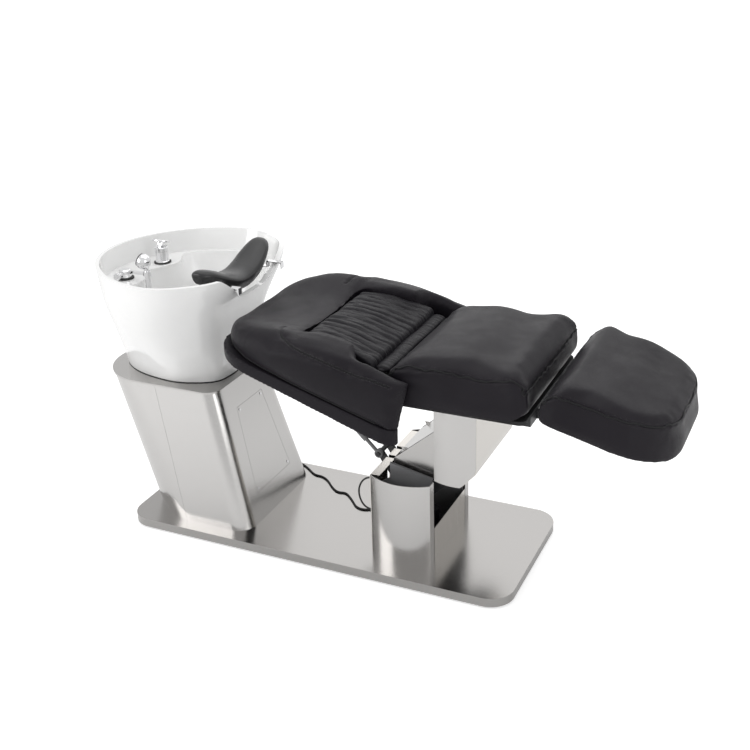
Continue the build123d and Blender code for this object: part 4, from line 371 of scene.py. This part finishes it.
def relaxed(obj, rounds, centre=None, reach=0.0):
    """Evens out the mesh, as leather bridges small dents: all of it, or only what is near one place."""
    builder = bmesh.new()
    builder.from_mesh(obj.data)
    points = builder.verts
    if centre is not None:
        points = [v for v in builder.verts if (v.co - Vector(centre)).length < reach]
    for _ in range(rounds):
        bmesh.ops.smooth_vert(
            builder, verts=points, factor=0.5, use_axis_x=True, use_axis_y=True, use_axis_z=True,
        )
    builder.to_mesh(obj.data)
    builder.free()


def filled(obj, held, shrink=0.006, swell=0.001, slack=0.004, frames=20, pressure=4.0):
    """Cloth under pressure from a slightly smaller start. held(co, normals) gives each point's share of
    being sewn down. No point moves more than shrink, swell and slack together, nor ends more than swell
    outside its first place."""
    mesh = obj.data
    first = coordinates(mesh)
    outward = normals_of(mesh)
    keep = held(first, outward)
    start = first - outward * (shrink * (1 - keep))[:, None]
    set_coordinates(mesh, start)
    group = obj.vertex_groups.new(name="held")
    for index, weight in enumerate(keep):
        if weight > 0.05:
            group.add([index], float(min(1, weight)), "REPLACE")
    cloth = obj.modifiers.new("cloth", "CLOTH")
    settings = cloth.settings
    settings.use_pressure = True
    settings.uniform_pressure_force = pressure
    settings.quality = 4
    settings.mass = 0.25
    settings.tension_stiffness = 12
    settings.compression_stiffness = 4
    settings.shear_stiffness = 4
    settings.bending_stiffness = 0.6
    settings.effector_weights.gravity = 0
    settings.vertex_group_mass = "held"
    cloth.collision_settings.use_collision = False
    for number in range(1, frames + 1):
        scene.frame_set(number)
    result = evaluated_mesh(obj)
    final = coordinates(result)
    bpy.data.meshes.remove(result)
    obj.modifiers.remove(cloth)
    obj.vertex_groups.remove(group)
    scene.frame_set(1)
    move = final - start
    size = np.linalg.norm(move, axis=1)
    limit = shrink + swell + slack
    move *= (np.minimum(size, limit) / np.maximum(size, 1e-9))[:, None]
    final = start + move
    out = ((final - first) * outward).sum(1)
    final -= outward * np.maximum(0, out - swell)[:, None]
    set_coordinates(mesh, final)
    relaxed(obj, 9)


def resampled(points, step, closed=False):
    """Even points along a smooth curve through the given ones."""
    pts = np.array(points, float)
    count = len(pts)
    fine = []
    steps_per_span = 24
    for i in range(count if closed else count - 1):
        near = [i + k for k in (-1, 0, 1, 2)]
        p0, p1, p2, p3 = (pts[k % count if closed else min(max(k, 0), count - 1)] for k in near)
        for t in np.linspace(0, 1, steps_per_span, endpoint=False):
            fine.append(0.5 * (
                2 * p1 + (p2 - p0) * t + (2 * p0 - 5 * p1 + 4 * p2 - p3) * t * t
                + (3 * p1 - p0 - 3 * p2 + p3) * t ** 3
            ))
    fine.append(pts[0] if closed else pts[-1])
    fine = np.array(fine)
    lengths = np.concatenate([[0], np.cumsum(np.linalg.norm(np.diff(fine, axis=0), axis=1))])
    places = np.linspace(0, lengths[-1], max(2, int(round(lengths[-1] / step))) + 1)
    out = np.stack([np.interp(places, lengths, fine[:, k]) for k in range(3)], axis=1)
    return out[:-1] if closed else out


def laid_on(tree, points):
    """The nearest places on a surface, with their normals."""
    places, facing = [], []
    for point in points:
        place, normal, _, _ = tree.find_nearest(Vector(point))
        places.append(place)
        facing.append(normal)
    return np.array(places), np.array(facing)


def tree_of(obj):
    """A search tree of an object's faces."""
    return BVHTree.FromPolygons(
        [v.co for v in obj.data.vertices], [p.vertices for p in obj.data.polygons],
    )


def grooved(obj, lines, depth, width, pucker=0.0):
    """A sewn line pulls the surface in along it, with small puckers at its sides."""
    places = np.concatenate([laid_on(tree_of(obj), line)[0] for line in lines])
    tree = kdtree.KDTree(len(places))
    for index, place in enumerate(places):
        tree.insert(place, index)
    tree.balance()
    co = coordinates(obj.data)
    outward = normals_of(obj.data)
    move = np.zeros(len(co))
    for index, point in enumerate(co):
        _, near, distance = tree.find(point)
        if distance < width * 4:
            move[index] = -depth * math.exp(-(distance / width) ** 2)
            if pucker:
                wave = math.sin(near * 0.9 + 2.5 * noise.noise(Vector(point) * 18))
                move[index] += pucker * wave * math.exp(-((distance - width * 1.6) / (width * 1.1)) ** 2)
    set_coordinates(obj.data, co + outward * move[:, None])


def waved(obj, height, scale, where=None):
    """Slow uneven waves, as foam under leather has."""
    co = coordinates(obj.data)
    outward = normals_of(obj.data)
    stretch = np.array(scale)
    move = np.array([noise.noise(Vector(p * stretch)) for p in co]) * height
    if where is not None:
        move *= where(co, outward)
    set_coordinates(obj.data, co + outward * move[:, None])


def raised(obj, bumps, floor_level, tall):
    """Moves the top of a pad up or down along X: (place, width, height) of each swell."""
    co = coordinates(obj.data)
    share = np.clip((co[:, 2] - floor_level(co[:, 0])) / tall, 0, 1)
    for place, width, height in bumps:
        co[:, 2] += height * share * np.exp(-((co[:, 0] - place) / width) ** 2)
    set_coordinates(obj.data, co)


def upward(lift=0.0):
    """A mask of the points that face up, and with lift also of those at the sides."""
    return lambda co, outward: np.clip(outward[:, 2] + lift, 0, 1)


def smooth_shaded(obj):
    obj.data.polygons.foreach_set("use_smooth", [True] * len(obj.data.polygons))


def subdivided(obj):
    """Splits every face in four, on a smooth surface."""
    change = obj.modifiers.new("finer", "SUBSURF")
    change.levels = 1
    change.render_levels = 1
    new = as_mesh(obj, obj.name + "_fine")
    obj.modifiers.remove(change)
    old = obj.data
    obj.data = new.data
    bpy.data.objects.remove(new)
    bpy.data.meshes.remove(old)


def mesh_object(name, vertices, faces, mat):
    mesh = bpy.data.meshes.new(name)
    mesh.from_pydata([tuple(v) for v in vertices], [], faces)
    mesh.update()
    obj = bpy.data.objects.new(name, mesh)
    scene.collection.objects.link(obj)
    mesh.materials.append(mat)
    smooth_shaded(obj)
    return obj


def ring_faces(rows, sides, base=0, closed=False):
    """The faces between rows of points round a tube, whose first point is number base."""
    faces = []
    for i in range(rows if closed else rows - 1):
        row, after = base + i * sides, base + (i + 1) % rows * sides
        for k in range(sides):
            m = (k + 1) % sides
            faces.append((row + k, row + m, after + m, after + k))
    return faces


def cap(start, sides, turned=False):
    """One face over the ring whose first point is number start."""
    face = tuple(range(start, start + sides))
    return face[::-1] if turned else face


def evened(values, closed, rounds=6):
    """A running mean along a line, which takes out small jumps."""
    values = np.array(values)
    for _ in range(rounds):
        ahead, behind = np.roll(values, -1, 0), np.roll(values, 1, 0)
        if not closed:
            ahead[-1], behind[0] = values[-1], values[0]
        values = values * 0.5 + (ahead + behind) * 0.25
    return values


def tube_on(name, obj, line, radius, lift=0.0, closed=False, sides=10):
    """A round piping that lies on a surface."""
    places, facing = laid_on(tree_of(obj), line)
    places, facing = evened(places, closed), evened(facing, closed)
    centre = places + facing * lift
    count = len(centre)
    last_along = centre[1] - centre[0]
    vertices = []
    for i in range(count):
        ahead = centre[(i + 1) % count] if closed or i < count - 1 else centre[i]
        behind = centre[i - 1] if closed or i else centre[i]
        along = ahead - behind
        if np.linalg.norm(np.cross(along, facing[i])) < 1e-6:
            along = last_along
        last_along = along = unit(along)
        across = unit(np.cross(along, facing[i]))
        out = np.cross(across, along)
        for k in range(sides):
            angle = 2 * math.pi * k / sides
            vertices.append(centre[i] + radius * (math.cos(angle) * across + math.sin(angle) * out))
    faces = ring_faces(count, sides, closed=closed)
    if not closed:
        faces += [cap(0, sides, turned=True), cap((count - 1) * sides, sides)]
    return mesh_object(name, vertices, faces, materials["piping"])


def stitches_on(name, obj, lines, offsets, length, gap, thick):
    """Rows of raised stitches at a distance beside a sewn line."""
    tree = tree_of(obj)
    vertices, faces = [], []
    spacing, sides = 0.002, 6
    shape = [(-1, 0.15), (-0.7, 0.8), (0, 1), (0.7, 0.8), (1, 0.15)]  # each ring: place, radius
    step = max(1, int(round((length + gap) / spacing)))
    for line in lines:
        places, facing = laid_on(tree, resampled(line, spacing))
        for i in range(0, len(places) - step, step):
            run = places[i + step] - places[i]
            out = unit(facing[i + step // 2])
            if np.linalg.norm(np.cross(run, out)) < 0.5 * length:
                continue
            along = unit(run)
            across = unit(np.cross(along, out))
            for shift in offsets:
                middle = places[i + step // 2] + across * shift
                middle, normal, _, _ = tree.find_nearest(Vector(middle))
                middle = np.array(middle) + np.array(normal) * thick * 0.35
                base = len(vertices)
                for t, r in shape:
                    for k in range(sides):
                        angle = 2 * math.pi * k / sides
                        vertices.append(
                            middle + along * t * length / 2
                            + thick * r * (math.cos(angle) * across + math.sin(angle) * out)
                        )
                faces += ring_faces(len(shape), sides, base)
                faces += [cap(base, sides, turned=True), cap(base + (len(shape) - 1) * sides, sides)]
    return mesh_object(name, vertices, faces, materials["thread"])


def dressed(obj, node, body, mat):
    """Gives a soft piece its cover and body, in place of its solid."""
    paint(obj, mat)
    smooth_shaded(obj)
    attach(obj, body)
    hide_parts(node)


def trim(obj, body):
    """Fixes stitches or piping to the body of their cover."""
    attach(obj, body)


def pad_loop(stations):
    """The sewn line round a pad: down its near side and back along its far side."""
    return [(x, -half, z) for x, half, z in stations] + [(x, half, z) for x, half, z in reversed(stations)]


def underside(level):
    """Points on the flat underside are held, with a soft edge."""
    return lambda co, outward: np.clip(-outward[:, 2] * 2.2 - level, 0, 1)


# The seat and the leg rest. Each station of a seam is (x, half width, height).
seam_step = 0.005
cushion_voxel = 0.0065
seat_seam = [
    (0.306, 0.262, 0.750), (0.320, 0.277, 0.770), (0.349, 0.283, 0.783), (0.440, 0.284, 0.781),
    (0.560, 0.284, 0.768), (0.660, 0.284, 0.774), (0.712, 0.283, 0.780), (0.738, 0.278, 0.768),
    (0.754, 0.262, 0.742),
]
leg_seam = [
    (0.766, 0.262, 0.736), (0.780, 0.280, 0.757), (0.802, 0.288, 0.764), (0.881, 0.288, 0.746),
    (0.960, 0.288, 0.728), (1.025, 0.287, 0.712), (1.080, 0.277, 0.698), (1.120, 0.250, 0.688),
    (1.145, 0.212, 0.682), (1.158, 0.170, 0.679), (1.165, 0.110, 0.676),
]


def leg_taper(x):
    """The leg rest's share of its solid's width, which narrows at the tip."""
    return np.interp(x, (0.98, 1.03, 1.08, 1.12, 1.145, 1.165), (1, 0.975, 0.925, 0.883, 0.863, 0.88))


def sewn_cushion(obj, name, node, body, seam, wave):
    """The cover of the seat or the leg rest: slow waves, and a sewn line with stitches and piping."""
    line = resampled(pad_loop(seam), seam_step, closed=True)
    waved(obj, wave, (6, 7, 6), upward())
    subdivided(obj)
    grooved(obj, [line], depth=0.0028, width=0.0045, pucker=0.0004)
    dressed(obj, node, body, dark_leather)
    trim(stitches_on(
        name + "_stitches", obj, [line], (-0.0065,), length=0.0040, gap=0.0025, thick=0.0004,
    ), body)
    trim(tube_on(name + "_piping", obj, line, radius=0.0024, lift=0.0002, closed=True), body)


# The seat's skirt hangs over the edge of its board.
skirt_half, skirt_top, skirt_drop = 0.264, 0.690, 0.014
seat = remeshed("seat_cushion", "seat_pad", cushion_voxel)
filled(seat, underside(0.6))
relaxed(seat, 10)
places = coordinates(seat.data)
at_side = np.clip((np.abs(places[:, 1]) - skirt_half) / 0.004, 0, 1)
below = np.clip((skirt_top - places[:, 2]) / 0.030, 0, 1)
places[:, 2] -= skirt_drop * (at_side * below)
set_coordinates(seat.data, places)
raised(seat, [(0.345, 0.085, -0.021), (0.560, 0.080, 0.010)], lambda x: 0.69, 0.08)
sewn_cushion(seat, "seat", "seat_cushion", "carriage", seat_seam, 0.0012)

leg = remeshed("legrest_cushion", "leg_pad", cushion_voxel)
filled(leg, underside(0.6))
relaxed(leg, 6)
raised(leg, [(0.790, 0.038, -0.020), (0.930, 0.090, 0.010)], lambda x: 0.70 - 0.26 * (x - 0.80), 0.06)
places = coordinates(leg.data)
places[:, 1] *= leg_taper(places[:, 0])
set_coordinates(leg.data, places)
tapered_seam = [(x, half * float(leg_taper(x)), z) for x, half, z in leg_seam]
sewn_cushion(leg, "leg", "legrest_cushion", "leg_rest", tapered_seam, 0.0011)


def mirrored(line):
    return [(x, -y, z) for x, y, z in line]


# The backrest: a cover with a sewn line along each arm, and a deep crease behind the lumbar panel.
arm_line = [
    (0.350, -0.327, 0.722), (0.254, -0.328, 0.741), (0.158, -0.327, 0.764), (0.059, -0.320, 0.788),
    (0.000, -0.300, 0.803), (-0.040, -0.262, 0.812), (-0.052, -0.215, 0.806),
]
crease_line = [
    (0.020, -0.215, 0.785), (0.004, -0.180, 0.778), (0.000, -0.100, 0.772), (0.000, 0.0, 0.770),
    (0.000, 0.100, 0.772), (0.004, 0.180, 0.778), (0.020, 0.215, 0.785),
]
arm_lines = [resampled(arm_line, seam_step), resampled(mirrored(arm_line), seam_step)]
lumbar_well_half, lumbar_well_rear = 0.25, 0.005
backrest = remeshed("backrest_cushion", "back_pad", 0.0068)


def back_held(co, outward):
    """The underside and the lumbar panel's well are held."""
    well = (np.abs(co[:, 1]) < lumbar_well_half) & (co[:, 0] > lumbar_well_rear)
    return np.maximum(underside(0.5)(co, outward), well)


filled(backrest, back_held)
for side in (-1, 0, 1):
    relaxed(backrest, 18, (-0.235, side * 0.19, 0.780), 0.15)  # the head end
for side in (-1, 1):
    relaxed(backrest, 60, (0.235, side * 0.255, 0.775), 0.050)  # the arms' inner corners
waved(backrest, 0.0015, (7, 7, 7), upward(0.2))
subdivided(backrest)
grooved(backrest, arm_lines, depth=0.0036, width=0.0055, pucker=0.0005)
for depth, width in ((0.011, 0.055), (0.006, 0.020)):
    grooved(backrest, [resampled(crease_line, seam_step)], depth, width)
dressed(backrest, "backrest_cushion", "backrest", dark_leather)
trim(stitches_on(
    "arm_stitches", backrest, arm_lines, (-0.0045, 0.0045), length=0.0042, gap=0.0018, thick=0.0006,
), "backrest")
for number, line in enumerate(arm_lines):
    trim(tube_on("arm_piping_%d" % number, backrest, line, radius=0.0019), "backrest")

band = remeshed("backrest_band", "back_band", 0.005)
waved(band, 0.0012, (14, 14, 14))
dressed(band, "backrest_band", "backrest", dark_leather)

# The piping along the cover's lower edge, from one arm round the head end to the other.
lower_plan = [
    (0.305, -0.345), (0.224, -0.344), (0.127, -0.347), (0.026, -0.344), (-0.073, -0.337),
    (-0.165, -0.320), (-0.233, -0.252), (-0.262, -0.180), (-0.276, -0.080), (-0.278, 0.0),
]
lower_line = [(x, y, 0.669 - 0.311 * (x - 0.062)) for x, y in lower_plan]
lower_line += mirrored(reversed(lower_line[:-1]))
lower_line = resampled(lower_line, seam_step)
trim(tube_on("back_piping", backrest, lower_line, radius=0.0026, lift=0.0004), "backrest")

lumbar = remeshed("lumbar_cushion", "lumbar_panel", 0.0042)
waved(lumbar, 0.0036, (9, 60, 9), upward())
waved(lumbar, 0.0024, (22, 120, 14), upward(0.4))
sideways = normals_of(lumbar.data) * (0.0045, 0.0045, 0.0)
set_coordinates(lumbar.data, coordinates(lumbar.data) + sideways)
raised(lumbar, [(0.012, 0.040, -0.011)], lambda x: 0.70, 0.05)
subdivided(lumbar)
dressed(lumbar, "lumbar_cushion", "backrest", ruched_leather)


# A gathered gusset that closes the gap between the lumbar panel and the seat.
gusset_half, gusset_x, gusset_z = 0.236, 0.2795, 0.727
gusset_reach, gusset_rise, gusset_drift = 0.0262, 0.013, 0.004
rings, spokes = 96, 20
vertices = []
for i in range(rings + 1):
    y = -gusset_half + 2 * gusset_half * i / rings
    end = min(1.0, (gusset_half - abs(y)) / 0.012 + 0.25)  # each end is rounded off
    fold = 1 + 0.05 * math.sin(y * 260 + 7 * noise.noise(Vector((y * 22, 0.3, 0.7))))
    middle = gusset_z + gusset_drift * noise.noise(Vector((y * 9, 1.7, 0.2)))
    for k in range(spokes):
        angle = 2 * math.pi * k / spokes
        vertices.append((
            gusset_x + gusset_reach * end * math.cos(angle),
            y,
            middle + gusset_rise * end * fold * math.sin(angle),
        ))
faces = ring_faces(rings + 1, spokes) + [cap(0, spokes), cap(rings * spokes, spokes, turned=True)]
gusset = mesh_object("recline_gusset", vertices, faces, ruched_leather)
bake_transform(gusset)

neck = remeshed("neck_rest", "neck_pad", 0.0035)
outward = normals_of(neck.data)
swelling = 0.007 * np.clip(outward[:, 2] * 1.6 + 0.4, 0, 1)
set_coordinates(neck.data, coordinates(neck.data) + outward * swelling[:, None])
relaxed(neck, 3)
waved(neck, 0.0012, (20, 20, 20))
subdivided(neck)
dressed(neck, "neck_rest", "neck_rest", materials["gel"])


# Stage: a pale floor, a white world and soft lamps. The camera sees both at full strength, and mirrors see
# a share of it.
def seen_share(nodes, links, in_mirrors, through_glass=False):
    """1 for the camera's rays, a smaller share for mirrored ones and 0 for all others."""
    rays = nodes.new("ShaderNodeLightPath").outputs
    clear = rays["Is Camera Ray"]
    if through_glass:
        clear = calculated(nodes, links, "MAXIMUM", clear, rays["Is Transmission Ray"])
    reflected = calculated(nodes, links, "MULTIPLY", rays["Is Glossy Ray"], in_mirrors)
    return calculated(nodes, links, "MAXIMUM", clear, reflected)


floor_half, floor_glow = 30, 0.56
floor_mesh = bpy.data.meshes.new("floor")
corners = [(-1, -1), (1, -1), (1, 1), (-1, 1)]
floor_mesh.from_pydata([(x * floor_half, y * floor_half, 0) for x, y in corners], [], [(0, 1, 2, 3)])
floor = bpy.data.objects.new("floor", floor_mesh)
scene.collection.objects.link(floor)
mat, nodes, links, bsdf = node_material("floor")
nodes.remove(bsdf)
diffuse = nodes.new("ShaderNodeBsdfDiffuse")
diffuse.inputs["Color"].default_value = (0.86, 0.86, 0.86, 1)
glow = nodes.new("ShaderNodeEmission")
level = calculated(nodes, links, "MULTIPLY", seen_share(nodes, links, 0.3), floor_glow)
links.new(level, glow.inputs["Strength"])
both = nodes.new("ShaderNodeAddShader")
links.new(diffuse.outputs[0], both.inputs[0])
links.new(glow.outputs[0], both.inputs[1])
links.new(both.outputs[0], nodes["Material Output"].inputs["Surface"])
floor_mesh.materials.append(mat)

world = bpy.data.worlds.new("studio")
scene.world = world
world.use_nodes = True
nodes, links = world.node_tree.nodes, world.node_tree.links
sky = nodes["Background"]
sky.inputs["Color"].default_value = (1, 1, 1, 1)
strength = remap(nodes, links, seen_share(nodes, links, 0.55, through_glass=True), 0.66, 1.0, 0.0, 1.0)
links.new(strength, sky.inputs["Strength"])


def lamp(name, place, aim, size, power):
    """A soft rectangular lamp that points at a place."""
    data = bpy.data.lights.new(name, "AREA")
    data.shape = "RECTANGLE"
    data.size, data.size_y = size
    data.energy = power
    obj = bpy.data.objects.new(name, data)
    scene.collection.objects.link(obj)
    obj.location = place
    obj.rotation_euler = (Vector(aim) - Vector(place)).to_track_quat("-Z", "Y").to_euler()


lamp("overhead", (0.0, 0.6, 3.4), (0.1, 0, 0.5), (3.6, 2.4), 27)
lamp("left_soft", (-2.6, -2.4, 2.0), (0, 0, 0.6), (2.0, 2.0), 45)
lamp("right_soft", (3.2, -1.6, 1.6), (0.4, 0, 0.6), (1.8, 2.2), 22)
lamp("behind", (-0.6, 3.4, 2.6), (0.2, 0, 0.7), (3.4, 2.0), 12)

scene.view_settings.view_transform = "Standard"
